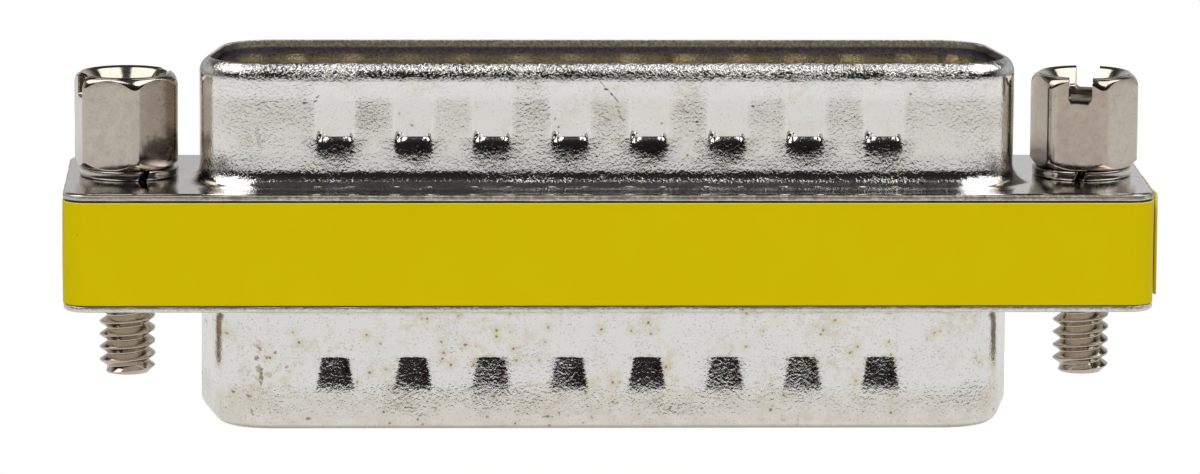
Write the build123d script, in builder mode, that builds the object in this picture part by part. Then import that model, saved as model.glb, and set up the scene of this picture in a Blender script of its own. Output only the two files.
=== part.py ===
from build123d import *
import math
import os

os.makedirs("parts", exist_ok=True)

# ---------------------------------------------------------------- dimensions
# Frame: origin at the middle of the body, +X along the long side, +Z out of
# the upper port, -Y towards the wide side of the upper port. Millimetres.

FACE_Z = 2.92          # outer face of each steel flange above the middle plane
SHEET_T = 0.36         # plated steel sheet
FLANGE_L = 52.94
FLANGE_W = 12.50
FLANGE_R = 1.20
SCREW_X = 23.52        # jackscrew holes are 47.04 apart
FLANGE_HOLE_R = 1.56

# D-shaped collar of a 25-way plug (inside sizes)
D_HALF_W = 19.54       # widest half width inside
D_HALF_H = 4.18
D_R = 2.60
D_ANGLE = 10.0
RIM_Z = 9.00           # top of the collar
RIM_ROLL_R = 0.80      # outside roll at the mouth
RIM_ROLL_IN_R = 0.50
RIM_APEX = RIM_Z + 0.08
RIM_THIN = 0.33        # sheet drawn a little thinner at the mouth
LIP = 0.17             # pierced mouth stands in from the wall by this
BASE_R = 0.90          # outside radius where the collar meets the flange

# pressed dimples
DIMPLE_X = [-13.3, -9.5, -5.7, -1.9, 1.9, 5.7, 9.5, 13.3]
DIMPLE_DEEP_Z = 5.43
DIMPLE_TOP_Z = 6.95
DIMPLE_LOW_Z = 4.72
DIMPLE_DEPTH = 0.32
DIMPLE_HALF_W = 0.72
DIMPLE_TOP_HALF_W = 0.84

# insulators
INS_L, INS_W, INS_R = 52.76, 12.36, 1.10
INS_PLATE_Z = FACE_Z - SHEET_T - 0.01
INS_BOSS_Z = FACE_Z + 0.95
INS_BOSS_GAP = 0.06
INS_SCREW_R = 1.60

# pins
PITCH = 2.77
ROW_Y = 1.42
PIN_R = 0.50
PIN_TIP_Z = 7.95
PIN_BEND_R = 0.80
PIN_GAP = 0.03
PIN_TIP_R = 0.32

# label film
LABEL_T = 0.12
LABEL_HALF_H = 2.51
LAP_FREE_Y = -3.40     # where the lapped end stops, on the right end face
LAP_ROOT_Y = 2.40
LAP_LIFT = 0.24

# jackscrews
HEX_AF = 4.75
HEX_EDGE_R = 0.50
HEX_Z0, HEX_Z1 = 3.40, 8.00
HEX_TOP_R = 2.255      # circle where the 45 degree chamfer meets the top
HEX_BOTTOM_R = 2.325
DISH_R = 2.20          # 90 degree countersink in the top
DISH_IN_R = 1.42
SOCKET_R = 1.13
SOCKET_Z = 4.10
STUD_R = 1.37
STUD_Z = -6.90
STUD_CHAMFER = 0.34
NECK_R = 1.10          # plain neck inside the body, above the thread
NECK_Z = -2.99         # the thread starts here, just under the lower flange
SLOT_W, SLOT_DEPTH, SLOT_R = 1.16, 1.10, 0.20
HEX_TURN = {"left": 11.0, "right": 15.0}    # nearest corner right of front
SLOT_TURN = {"left": 25.0, "right": 79.5}   # slot direction from +X

# split lock washers
WASHER_OD_R, WASHER_ID_R = 2.44, 1.56
WASHER_Z0, WASHER_Z1 = 2.93, 3.39
WASHER_GAP = 0.34
WASHER_TURN = {"left": 19.0, "right": -7.5}  # split, right of front
WASHER_SHIFT = {"left": 0.13, "right": -0.08}


def d_points(grow):
    """Corners of the D outline, wide side at -Y, moved outwards by grow."""
    a = math.radians(D_ANGLE)
    r = D_R + grow
    cx = D_HALF_W - D_R
    cy = -(D_HALF_H - D_R)
    half_h = D_HALF_H + grow

    def side_x(y):
        return cx + r / math.cos(a) - math.tan(a) * (y - cy)

    return [
        (-side_x(-half_h), -half_h),
        (side_x(-half_h), -half_h),
        (side_x(half_h), half_h),
        (-side_x(half_h), half_h),
    ]


# ---------------------------------------------------------------- steel shell
# Flange and collar are one deep-drawn stamping. The mouth is pierced through
# the bottom of the drawn cup, so its edge is rolled outside and cut inside.
with BuildPart() as upper_shell:
    with BuildSketch(Plane.XY.offset(FACE_Z - SHEET_T)):
        RectangleRounded(FLANGE_L, FLANGE_W, FLANGE_R)
    extrude(amount=SHEET_T)
    with BuildSketch(Plane.XY.offset(FACE_Z)):
        with BuildLine():
            Polyline(*d_points(SHEET_T), close=True)
        make_face()
        fillet(vertices(), D_R + SHEET_T)
    extrude(amount=RIM_APEX - FACE_Z)
    fillet(edges().group_by(Axis.Z)[-1], RIM_ROLL_R)
    base_edges = edges().filter_by(
        lambda e: abs(e.center().Z - FACE_Z) < 1e-4
        and abs(e.bounding_box().min.Y) < D_HALF_H + SHEET_T + 0.01
        and abs(e.bounding_box().max.Y) < D_HALF_H + SHEET_T + 0.01
        and e.bounding_box().max.X < D_HALF_W + SHEET_T + 0.01
        and e.bounding_box().min.X > -D_HALF_W - SHEET_T - 0.01
    )
    fillet(base_edges, BASE_R)
    # top land left by the piercing punch
    with BuildSketch(Plane.XY.offset(RIM_Z)):
        Rectangle(60, 20)
    extrude(amount=2, mode=Mode.SUBTRACT)
    # the inside of the cup
    with BuildSketch(Plane.XY.offset(FACE_Z - SHEET_T)):
        with BuildLine():
            Polyline(*d_points(0), close=True)
        make_face()
        fillet(vertices(), D_R)
    extrude(amount=RIM_APEX - RIM_THIN - (FACE_Z - SHEET_T), mode=Mode.SUBTRACT)
    cup_top = edges().filter_by(
        lambda e: abs(e.center().Z - (RIM_APEX - RIM_THIN)) < 1e-4
        and abs(e.bounding_box().size.Z) < 1e-4
    )
    fillet(cup_top, RIM_ROLL_IN_R)
    cup_base = edges().filter_by(
        lambda e: abs(e.center().Z - (FACE_Z - SHEET_T)) < 1e-4
        and e.bounding_box().max.Y < D_HALF_H + 0.01
        and e.bounding_box().min.Y > -D_HALF_H - 0.01
        and e.bounding_box().max.X < D_HALF_W + 0.01
        and e.bounding_box().min.X > -D_HALF_W - 0.01
    )
    fillet(cup_base, BASE_R + SHEET_T)
    # pierced mouth
    with BuildSketch(Plane.XY.offset(RIM_Z - 1.2)):
        with BuildLine():
            Polyline(*d_points(-LIP), close=True)
        make_face()
        fillet(vertices(), D_R - LIP)
    extrude(amount=2, mode=Mode.SUBTRACT)
    # screw holes
    with Locations((-SCREW_X, 0, FACE_Z), (SCREW_X, 0, FACE_Z)):
        Hole(FLANGE_HOLE_R)
    # dimples: a ramp that deepens towards the flange and a short rise back,
    # pressed in from outside, so each stands out as a bump inside
    for side in (-1, 1):
        wall = side * (D_HALF_H + SHEET_T)
        inner = side * D_HALF_H
        for x in DIMPLE_X:
            with BuildSketch(Plane.YZ.offset(x - DIMPLE_HALF_W - 0.34)):
                with BuildLine():
                    Polyline(
                        (inner + side * 0.12, DIMPLE_TOP_Z + 0.25),
                        (inner, DIMPLE_TOP_Z + 0.25),
                        (inner - side * DIMPLE_DEPTH, DIMPLE_DEEP_Z + 0.10),
                        (inner - side * DIMPLE_DEPTH, DIMPLE_DEEP_Z - 0.10),
                        (inner, DIMPLE_LOW_Z - 0.15),
                        (inner + side * 0.12, DIMPLE_LOW_Z - 0.15),
                        close=True,
                    )
                make_face()
            extrude(amount=2 * (DIMPLE_HALF_W + 0.34))
        for x in DIMPLE_X:
            with BuildSketch(Plane.YZ.offset(x - DIMPLE_HALF_W)):
                with BuildLine():
                    Polyline(
                        (wall + side * 0.2, DIMPLE_TOP_Z),
                        (wall, DIMPLE_TOP_Z),
                        (wall - side * DIMPLE_DEPTH, DIMPLE_DEEP_Z),
                        (wall, DIMPLE_LOW_Z),
                        (wall + side * 0.2, DIMPLE_LOW_Z),
                        close=True,
                    )
                make_face()
            extrude(amount=2 * DIMPLE_HALF_W, mode=Mode.SUBTRACT)

upper_shell.part.label = "upper_shell"
export_step(upper_shell.part, "parts/upper_shell.step")

# The second shell is the same stamping, turned over about the long axis, so
# the narrow side of the lower port faces the same way as the wide side above.
with BuildPart() as lower_shell:
    add(upper_shell.part, rotation=(180, 0, 0))

lower_shell.part.label = "lower_shell"
export_step(lower_shell.part, "parts/lower_shell.step")

# ---------------------------------------------------------------- insulators
WIDE_X = [PITCH * (6 - k) for k in range(13)]
NARROW_X = [PITCH * (5.5 - k) for k in range(12)]
CHANNEL_R = PIN_R + PIN_GAP

with BuildPart() as upper_insulator:
    with BuildSketch(Plane.XY):
        RectangleRounded(INS_L, INS_W, INS_R)
    extrude(amount=INS_PLATE_Z)
    with BuildSketch(Plane.XY.offset(INS_PLATE_Z)):
        with BuildLine():
            Polyline(*d_points(-INS_BOSS_GAP), close=True)
        make_face()
        fillet(vertices(), D_R - INS_BOSS_GAP)
    extrude(amount=INS_BOSS_Z - INS_PLATE_Z)
    chamfer(edges().group_by(Axis.Z)[-1], 0.15)
    # screw clearance
    with BuildSketch(Plane.XY):
        with Locations((-SCREW_X, 0), (SCREW_X, 0)):
            Circle(INS_SCREW_R)
    extrude(amount=INS_PLATE_Z, mode=Mode.SUBTRACT)
    # straight pin holes
    with BuildSketch(Plane.XY):
        with Locations(*[(x, -ROW_Y) for x in WIDE_X], *[(x, ROW_Y) for x in NARROW_X]):
            Circle(CHANNEL_R)
    extrude(amount=INS_BOSS_Z, mode=Mode.SUBTRACT)
    # half-depth channels for the cranked middle of each pin
    with BuildSketch(Plane.XY):
        with Locations(*[(x, 0) for x in WIDE_X + NARROW_X]):
            SlotCenterToCenter(2 * ROW_Y, 2 * CHANNEL_R, rotation=90)
    extrude(amount=CHANNEL_R, mode=Mode.SUBTRACT)
    # eased inner corner where hole and channel meet, for the bend of the pin
    for xs, s in ((WIDE_X, 1), (NARROW_X, -1)):
        for x in xs:
            with BuildSketch(Plane.YZ.offset(x - CHANNEL_R)):
                with BuildLine():
                    Polyline(
                        (-s * ROW_Y, 0.30),
                        (-s * ROW_Y, CHANNEL_R + 0.37),
                        (-s * (ROW_Y - CHANNEL_R), CHANNEL_R + 0.37),
                        (-s * (ROW_Y - CHANNEL_R - 0.37), CHANNEL_R),
                        (-s * (ROW_Y - CHANNEL_R - 0.37), 0.30),
                        close=True,
                    )
                make_face()
            extrude(amount=2 * CHANNEL_R, mode=Mode.SUBTRACT)

upper_insulator.part.label = "upper_insulator"
export_step(upper_insulator.part, "parts/upper_insulator.step")

with BuildPart() as lower_insulator:
    add(upper_insulator.part, rotation=(180, 0, 0))

lower_insulator.part.label = "lower_insulator"
export_step(lower_insulator.part, "parts/lower_insulator.step")

# ---------------------------------------------------------------- pins
# Each pin is one round wire, cranked between the halves: the lower port is
# turned over, so a pin leaves it in the other row.
with BuildPart() as wide_row_pin:
    with BuildLine(Plane.YZ) as wire_path:
        FilletPolyline(
            (-ROW_Y, PIN_TIP_Z),
            (-ROW_Y, 0),
            (ROW_Y, 0),
            (ROW_Y, -PIN_TIP_Z),
            radius=PIN_BEND_R,
        )
    with BuildSketch(Plane.XY.offset(PIN_TIP_Z)):
        with Locations((0, -ROW_Y)):
            Circle(PIN_R)
    sweep(path=wire_path.wires()[0])
    tips = edges().filter_by(lambda e: abs(abs(e.center().Z) - PIN_TIP_Z) < 1e-4)
    fillet(tips, PIN_TIP_R)

places = [(x, 0) for x in WIDE_X] + [(x, 180) for x in NARROW_X]
for number, (x, turn) in enumerate(places, start=1):
    with BuildPart() as contact:
        with Locations(Location((x, 0, 0), (0, 0, turn))):
            add(wide_row_pin.part)
    contact.part.label = f"contact_{number:02d}"
    export_step(contact.part, f"parts/contact_{number:02d}.step")

# ---------------------------------------------------------------- label film
# One turn of film round the insulators; its outer end laps over the start on
# the right end face and lifts a little.
lap_x = INS_L / 2 + LABEL_T
with BuildPart() as label_band:
    with BuildSketch(Plane.XY.offset(-LABEL_HALF_H)):
        RectangleRounded(INS_L + 2 * LABEL_T, INS_W + 2 * LABEL_T, INS_R + LABEL_T)
        RectangleRounded(INS_L, INS_W, INS_R, mode=Mode.SUBTRACT)
        with BuildLine():
            Polyline(
                (lap_x - 0.05, LAP_ROOT_Y + 0.8),
                (lap_x, LAP_ROOT_Y + 0.8),
                (lap_x + LABEL_T, LAP_ROOT_Y),
                (lap_x + LAP_LIFT + LABEL_T, LAP_FREE_Y),
                (lap_x + LAP_LIFT, LAP_FREE_Y),
                (lap_x - 0.02, LAP_ROOT_Y - 0.3),
                (lap_x - 0.05, LAP_ROOT_Y - 0.3),
                close=True,
            )
        make_face()
    extrude(amount=2 * LABEL_HALF_H)

label_band.part.label = "label_band"
export_step(label_band.part, "parts/label_band.step")

# ---------------------------------------------------------------- jackscrews
for side, sx in (("left", -SCREW_X), ("right", SCREW_X)):
    top = Plane.XY.offset(HEX_Z0)
    with BuildPart() as jackscrew:
        with BuildSketch(top):
            with Locations((sx, 0)):
                RegularPolygon(HEX_AF / 2, 6, major_radius=False, rotation=HEX_TURN[side] - 90)
            fillet(vertices(), HEX_EDGE_R)
        extrude(amount=HEX_Z1 - HEX_Z0)
        # both ends of the hex are turned to a 45 degree chamfer
        with BuildSketch(Plane.XZ):
            with BuildLine():
                Polyline(
                    (sx, HEX_Z0),
                    (sx + HEX_BOTTOM_R, HEX_Z0),
                    (sx + HEX_BOTTOM_R + 0.9, HEX_Z0 + 0.9),
                    (sx + HEX_TOP_R + 0.9, HEX_Z1 - 0.9),
                    (sx + HEX_TOP_R, HEX_Z1),
                    (sx, HEX_Z1),
                    close=True,
                )
            make_face()
        revolve(axis=Axis((sx, 0, 0), (0, 0, 1)), mode=Mode.INTERSECT)
        # dished, drilled and tapped top
        with BuildSketch(Plane.XZ):
            with BuildLine():
                Polyline(
                    (sx, HEX_Z1 + 0.2),
                    (sx + DISH_R + 0.2, HEX_Z1 + 0.2),
                    (sx + DISH_IN_R, HEX_Z1 - (DISH_R - DISH_IN_R)),
                    (sx + SOCKET_R, HEX_Z1 - (DISH_R - DISH_IN_R) - 0.18),
                    (sx + SOCKET_R, SOCKET_Z),
                    (sx, SOCKET_Z - 0.5),
                    close=True,
                )
            make_face()
        revolve(axis=Axis((sx, 0, 0), (0, 0, 1)), mode=Mode.SUBTRACT)
        # screwdriver slot with rounded corners
        turn = SLOT_TURN[side]
        slot_plane = Plane(
            origin=(sx, 0, HEX_Z1 - SLOT_DEPTH),
            x_dir=(-math.sin(math.radians(turn)), math.cos(math.radians(turn)), 0),
            z_dir=(math.cos(math.radians(turn)), math.sin(math.radians(turn)), 0),
        )
        with BuildSketch(slot_plane.offset(-4)):
            with Locations((0, 1.0)):
                RectangleRounded(SLOT_W, 2.0, SLOT_R)
        extrude(amount=8, mode=Mode.SUBTRACT)
        # relieved neck and stud with a chamfered point
        with BuildSketch(Plane.XZ):
            with BuildLine():
                Polyline(
                    (sx, HEX_Z0 + 0.1),
                    (sx + NECK_R, HEX_Z0 + 0.1),
                    (sx + NECK_R, NECK_Z + STUD_R - NECK_R),
                    (sx + STUD_R, NECK_Z),
                    (sx + STUD_R, STUD_Z + STUD_CHAMFER),
                    (sx + STUD_R - STUD_CHAMFER, STUD_Z),
                    (sx, STUD_Z),
                    close=True,
                )
            make_face()
        revolve(axis=Axis((sx, 0, 0), (0, 0, 1)))
    jackscrew.part.label = f"jackscrew_{side}"
    export_step(jackscrew.part, f"parts/jackscrew_{side}.step")

    # -------------------------------------------------------- lock washers
    wx = sx + WASHER_SHIFT[side]
    cut = math.radians(WASHER_TURN[side])
    out_dir = (math.sin(cut), -math.cos(cut), 0)
    with BuildPart() as lock_washer:
        with BuildSketch(Plane.XY.offset(WASHER_Z0)):
            with Locations((wx, 0)):
                Circle(WASHER_OD_R)
                Circle(WASHER_ID_R, mode=Mode.SUBTRACT)
        extrude(amount=WASHER_Z1 - WASHER_Z0)
        chamfer(edges().filter_by(GeomType.CIRCLE).sort_by(SortBy.RADIUS)[-2:], 0.06)
        # slanted split
        split_plane = Plane(
            origin=(wx, 0, (WASHER_Z0 + WASHER_Z1) / 2),
            x_dir=(-out_dir[1], out_dir[0], 0),
            z_dir=out_dir,
        )
        slant = 0.22
        half_t = 0.5
        with BuildSketch(split_plane):
            with BuildLine():
                Polyline(
                    (-WASHER_GAP / 2 - slant, -half_t),
                    (WASHER_GAP / 2 - slant, -half_t),
                    (WASHER_GAP / 2 + slant, half_t),
                    (-WASHER_GAP / 2 + slant, half_t),
                    close=True,
                )
            make_face()
        extrude(amount=4, mode=Mode.SUBTRACT)
    lock_washer.part.label = f"lock_washer_{side}"
    export_step(lock_washer.part, f"parts/lock_washer_{side}.step")
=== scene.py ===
import math

import bmesh
import bpy
import numpy as np
from mathutils import Matrix, Vector
from mathutils.geometry import tessellate_polygon

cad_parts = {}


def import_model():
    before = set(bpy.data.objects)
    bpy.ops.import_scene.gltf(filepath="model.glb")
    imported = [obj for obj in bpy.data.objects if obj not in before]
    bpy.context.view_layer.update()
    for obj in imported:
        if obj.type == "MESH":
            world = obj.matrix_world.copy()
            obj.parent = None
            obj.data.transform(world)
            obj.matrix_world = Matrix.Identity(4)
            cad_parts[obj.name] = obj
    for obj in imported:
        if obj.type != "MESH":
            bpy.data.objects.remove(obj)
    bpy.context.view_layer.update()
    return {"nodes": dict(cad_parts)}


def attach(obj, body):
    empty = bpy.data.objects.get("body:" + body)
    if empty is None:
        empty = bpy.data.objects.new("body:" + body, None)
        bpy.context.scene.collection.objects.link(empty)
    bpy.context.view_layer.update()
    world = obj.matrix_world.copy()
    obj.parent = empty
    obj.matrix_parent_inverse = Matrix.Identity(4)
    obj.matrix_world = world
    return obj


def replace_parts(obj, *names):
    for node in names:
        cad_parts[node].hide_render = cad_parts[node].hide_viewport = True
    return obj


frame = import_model()
MM = 0.001
scene = bpy.context.scene
scene.view_settings.view_transform = "Standard"
scene.view_settings.look = "None"


# ------------------------------------------------------------------ helpers
def build_mesh(name, verts, faces, smooth=True, attrs=None):
    """A mesh object from points in millimetres and lists of quads and triangles."""
    verts = np.asarray(verts, float) * MM
    me = bpy.data.meshes.new(name)
    sizes = [len(f) for f in faces]
    flat = np.fromiter((i for f in faces for i in f), dtype=np.int32, count=sum(sizes))
    me.vertices.add(len(verts))
    me.vertices.foreach_set("co", verts.astype(np.float32).ravel())
    me.loops.add(len(flat))
    me.loops.foreach_set("vertex_index", flat)
    me.polygons.add(len(faces))
    starts = np.concatenate([[0], np.cumsum(sizes)[:-1]]).astype(np.int32)
    me.polygons.foreach_set("loop_start", starts)
    me.update(calc_edges=True)
    me.validate()
    if smooth:
        me.polygons.foreach_set("use_smooth", np.ones(len(me.polygons), bool))
    for key, values in (attrs or {}).items():
        a = me.attributes.new(key, "FLOAT", "POINT")
        a.data.foreach_set("value", np.asarray(values, np.float32))
    ob = bpy.data.objects.new(name, me)
    scene.collection.objects.link(ob)
    return ob


def grid_faces(rows, cols, wrap_cols=True, start=0, flip=False, wrap_rows=False):
    """Quads of a rows x cols grid of points, numbered row by row."""
    r = np.arange(rows if wrap_rows else rows - 1)
    c = np.arange(cols if wrap_cols else cols - 1)
    rr, cc = np.meshgrid(r, c, indexing="ij")
    a = rr * cols + cc
    b = rr * cols + (cc + 1) % cols
    d = ((rr + 1) % rows) * cols + cc
    e = ((rr + 1) % rows) * cols + (cc + 1) % cols
    quad = np.stack([a, b, e, d] if not flip else [a, d, e, b], -1).reshape(-1, 4)
    return (quad + start).tolist()


def arc(cx, cy, r, a0, a1, n):
    t = np.radians(np.linspace(a0, a1, n))
    return list(zip(cx + r * np.cos(t), cy + r * np.sin(t)))


def waves(p, lo, hi, n, seed):
    """Smooth repeatable noise about zero, made of plane waves lo to hi mm long."""
    rng = np.random.default_rng(seed)
    k = rng.normal(size=(n, 3))
    k /= np.linalg.norm(k, axis=1)[:, None]
    k *= (2 * math.pi / np.exp(rng.uniform(math.log(lo), math.log(hi), n)))[:, None]
    ph = rng.uniform(0, 2 * math.pi, n)
    out = np.zeros(len(p))
    for i in range(n):
        out += np.sin(p @ k[i] + ph[i])
    return out * math.sqrt(2.0 / n)


def step(x, a, b):
    t = np.clip((np.asarray(x, float) - a) / (b - a), 0, 1)
    return t * t * (3 - 2 * t)


def soften(points, radii, seg=3):
    """A polyline with its inner corners rounded; every corner gives seg + 1 points."""
    p = [np.array(q, float) for q in points]
    out = [p[0]]
    for i in range(1, len(p) - 1):
        rad = radii[i - 1]
        u, v = p[i - 1] - p[i], p[i + 1] - p[i]
        lu, lv = np.linalg.norm(u), np.linalg.norm(v)
        u, v = u / lu, v / lv
        ang = math.acos(max(-1, min(1, float(u @ v))))
        t = min(rad / math.tan(ang / 2), 0.45 * lu, 0.45 * lv) if ang < 3.1 else 0.3 * min(lu, lv)
        a, b = p[i] + u * t, p[i] + v * t
        for s in np.linspace(0, 1, seg + 1):
            out.append((1 - s) ** 2 * a + 2 * s * (1 - s) * p[i] + s**2 * b)
    out.append(p[-1])
    return np.array(out)


def fill_plane(loops, z, up, start):
    """Triangles over a flat region: the first loop is its edge, the others are holes."""
    polys = [[Vector((float(x), float(y), 0)) for x, y in lp] for lp in loops]
    tris = tessellate_polygon(polys)
    flat = np.concatenate([np.asarray(lp, float) for lp in loops])
    faces = []
    for a, b, c in tris:
        area = np.cross(flat[b] - flat[a], flat[c] - flat[a])
        if abs(area) < 1e-12:
            continue
        faces.append([a, b, c] if (area > 0) == up else [a, c, b])
    return faces


# ------------------------------------------------------------------ D outline
D_W, D_H, D_R, D_A = 19.54, 4.18, 2.60, 10.0
SHEET, FACE_Z, BASE_R = 0.36, 2.92, 0.90
DIMPLE_X = [-13.3, -9.5, -5.7, -1.9, 1.9, 5.7, 9.5, 13.3]


def outline():
    """Points of the inside D outline and its outward normals, wide side at -Y."""
    a = math.radians(D_A)
    wx, wy = D_W - D_R, -(D_H - D_R)
    nx_, ny_ = wx - math.tan(a) * (2 * (D_H - D_R)), D_H - D_R

    def along(end):
        xs = []
        for d in DIMPLE_X:
            xs += list(d + np.linspace(-1.0, 1.0, 29))
        gaps = []
        for d, e in zip(DIMPLE_X[:-1], DIMPLE_X[1:]):
            gaps += list(np.linspace(d + 1.0, e - 1.0, 9)[1:-1])
        tail = list(np.linspace(14.3, end, 13)[1:])
        return np.array(sorted(xs + gaps + tail + [-t for t in tail]))

    pts, nrm = [], []
    for x in along(wx)[:-1]:
        pts.append((x, -D_H)), nrm.append((0.0, -1.0))

    def corner(cx, cy, a0, a1, n):
        for t in np.radians(np.linspace(a0, a1, n)):
            nrm.append((math.cos(t), math.sin(t)))
            pts.append((cx + D_R * math.cos(t), cy + D_R * math.sin(t)))

    def side(sx, n):
        # straight slanted end, between the corner arcs
        p0 = np.array([wx + D_R * math.cos(a), wy + D_R * math.sin(a)])
        p1 = np.array([nx_ + D_R * math.cos(a), ny_ + D_R * math.sin(a)])
        ts = np.linspace(0, 1, n)[1:-1]
        if sx < 0:
            ts = ts[::-1]
        for t in ts:
            p = p0 + (p1 - p0) * t
            pts.append((sx * p[0], p[1])), nrm.append((sx * math.cos(a), math.sin(a)))

    corner(wx, wy, -90, D_A, 30)
    side(1, 12)
    corner(nx_, ny_, D_A, 90, 25)
    for x in along(nx_)[::-1][1:-1]:
        pts.append((x, D_H)), nrm.append((0.0, 1.0))
    corner(-nx_, ny_, 90, 180 - D_A, 25)
    side(-1, 12)
    corner(-wx, wy, 180 - D_A, 270, 30)
    pts, nrm = pts[:-1], nrm[:-1]
    return np.array(pts), np.array(nrm)


def soft_min(a, b, k):
    h = np.clip(0.5 + 0.5 * (b - a) / k, 0, 1)
    return b * (1 - h) + a * h - k * h * (1 - h)


def dimple_depth(x, z, turned=False, wide=0.0):
    """How far the sheet is pressed in at (x, z) on a long side, in mm."""
    depth = np.zeros(np.broadcast(x, z).shape)
    deep = 0.28
    for d in DIMPLE_X:
        u = np.abs(x - d)
        w = z - 5.43
        # ramp that starts gently and deepens towards the crease
        a = 1 - w / 1.56
        ramp = deep * 0.5 * (a + np.sqrt(a * a + 0.022))
        # below the crease the sheet rises back towards the flange: steep first, then slowly
        lens = np.sqrt(np.clip(1 - (u / (1.06 + wide)) ** 2.4, 1e-4, 1))
        t1 = np.clip(-w / (0.34 * lens), -1, 1)
        t2 = np.clip(-w / (1.60 * lens), -0.4, 1)
        dent = 0.10 * (1 - t1) ** 2 + (deep - 0.10) * np.where(t2 > 0, (1 - t2) ** 2, 1 - 3 * t2)
        body = soft_min(ramp, dent, 0.016)
        # drafted sides
        g = np.clip(0.98 + wide - u, 0, 2)
        body = soft_min(body, 0.55 * g + 1.0 * g * g, 0.07) * (1 - step(u, 1.00 + wide, 1.12 + wide))
        body = body * (1 - step(w, 1.9, 2.5))
        # the corners of the punch bite deeper
        spots = ((-0.30, 0.11, 0.055, 0.045), (0.13, 0.13, 0.055, 0.05)) if turned else ((-0.64, 0.19, 0.17, 0.115), (0.66, 0.12, 0.09, 0.06))
        for c, ru, rw, h in spots:
            body = body + h * np.exp(-(((x - d - c) / ru) ** 2) - ((w + 0.02) / rw) ** 2)
        depth = np.maximum(depth, np.clip(body, 0, None))
    return depth


def peel_mask(x, y, z, on_long, turned):
    """Where the drawn sheet is rough like orange peel: bends, corners, round the dents."""
    if turned:
        base = 0.30 + 0.14 * step(z, 4.3, 5.2) + 0.62 * step(z, 6.5, 7.0) - 0.30 * step(z, 7.7, 8.3)
    else:
        base = 0.14 + 0.86 * step(z, 3.18, 3.38)
        base = base - 0.58 * step(z, 3.95, 4.8)
        base = base + 0.10 * step(z, 5.6, 6.2) - 0.30 * step(z, 7.0, 7.6)
        far_x = np.abs(x)
        bend = 2.3 * (1 - 0.70 * step(far_x, 17.1, 18.1) * (1 - step(far_x, 19.2, 19.6)))
        base = base + bend * step(z, 8.18, 8.45)
    calm = np.zeros_like(z)
    dent = np.zeros_like(z)
    for d in DIMPLE_X:
        u = np.abs(x - d)
        if turned:
            r = np.hypot(u / 1.15, (z - 5.0) / 0.75)
            calm = np.maximum(calm, 0.9 * (1 - step(r, 0.7, 1.3)) * (1 - step(z, 5.30, 5.42)))
            inside = (1 - step(u, 0.80, 1.15)) * step(z, 5.36, 5.44) * (1 - step(z, 6.6, 7.4))
            dent = np.maximum(dent, inside)
        else:
            calm = np.maximum(calm, (1 - step(u, 0.84, 1.10)) * step(z, 5.35, 5.5) * (1 - step(z, 7.8, 8.15)))
            r = np.hypot(u / 1.20, (z - 5.40) / 1.25)
            ring = (0.22 + 0.78 * step(r, 0.45, 0.85)) * (1 - step(r, 1.00, 1.50))
            dent = np.maximum(dent, ring * (1 - step(z, 5.25, 5.45)))
    if turned:
        return np.clip(base * (1 - calm * on_long) + 0.52 * dent * on_long, 0, 3.6)
    return np.clip(base * (1 - 0.93 * calm * on_long) + 0.62 * dent * on_long, 0, 3.6)


def stain_and_shade_masks(x, z, front, turned):
    """Yellowish film and dark brown deposit, as weights at the points of a shell; towards the lower shell's mouth the
    film is partly painted shade, and below each upper dent the deposit is partly painted shade.
    """
    # on the lower shell the yellowish film towards the mouth is partly painted shade, standing in for the shadow where
    # the shell meets the floor
    yellow_film_and_shade = 0.9 * step(z, 6.7, 7.7) if turned else 0.25 * (1 - step(z, 6.6, 7.6)) * step(z, 4.6, 5.4)
    deposit_and_dent_shade = np.zeros_like(z)
    for d in DIMPLE_X:
        if turned:
            g = np.exp(-(((x - d - 0.52) / 0.20) ** 2)) * step(z, 5.45, 5.7) * (1 - step(z, 6.6, 6.9))
        else:
            # painted shade: below each upper dent the brown patch also stands in for the dark shading under the dent
            g = np.exp(-(((x - d - 0.20) / 0.62) ** 2) - ((z - 4.80) / 0.38) ** 2)
        deposit_and_dent_shade = np.maximum(deposit_and_dent_shade, g)
    return yellow_film_and_shade, deposit_and_dent_shade * front


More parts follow.
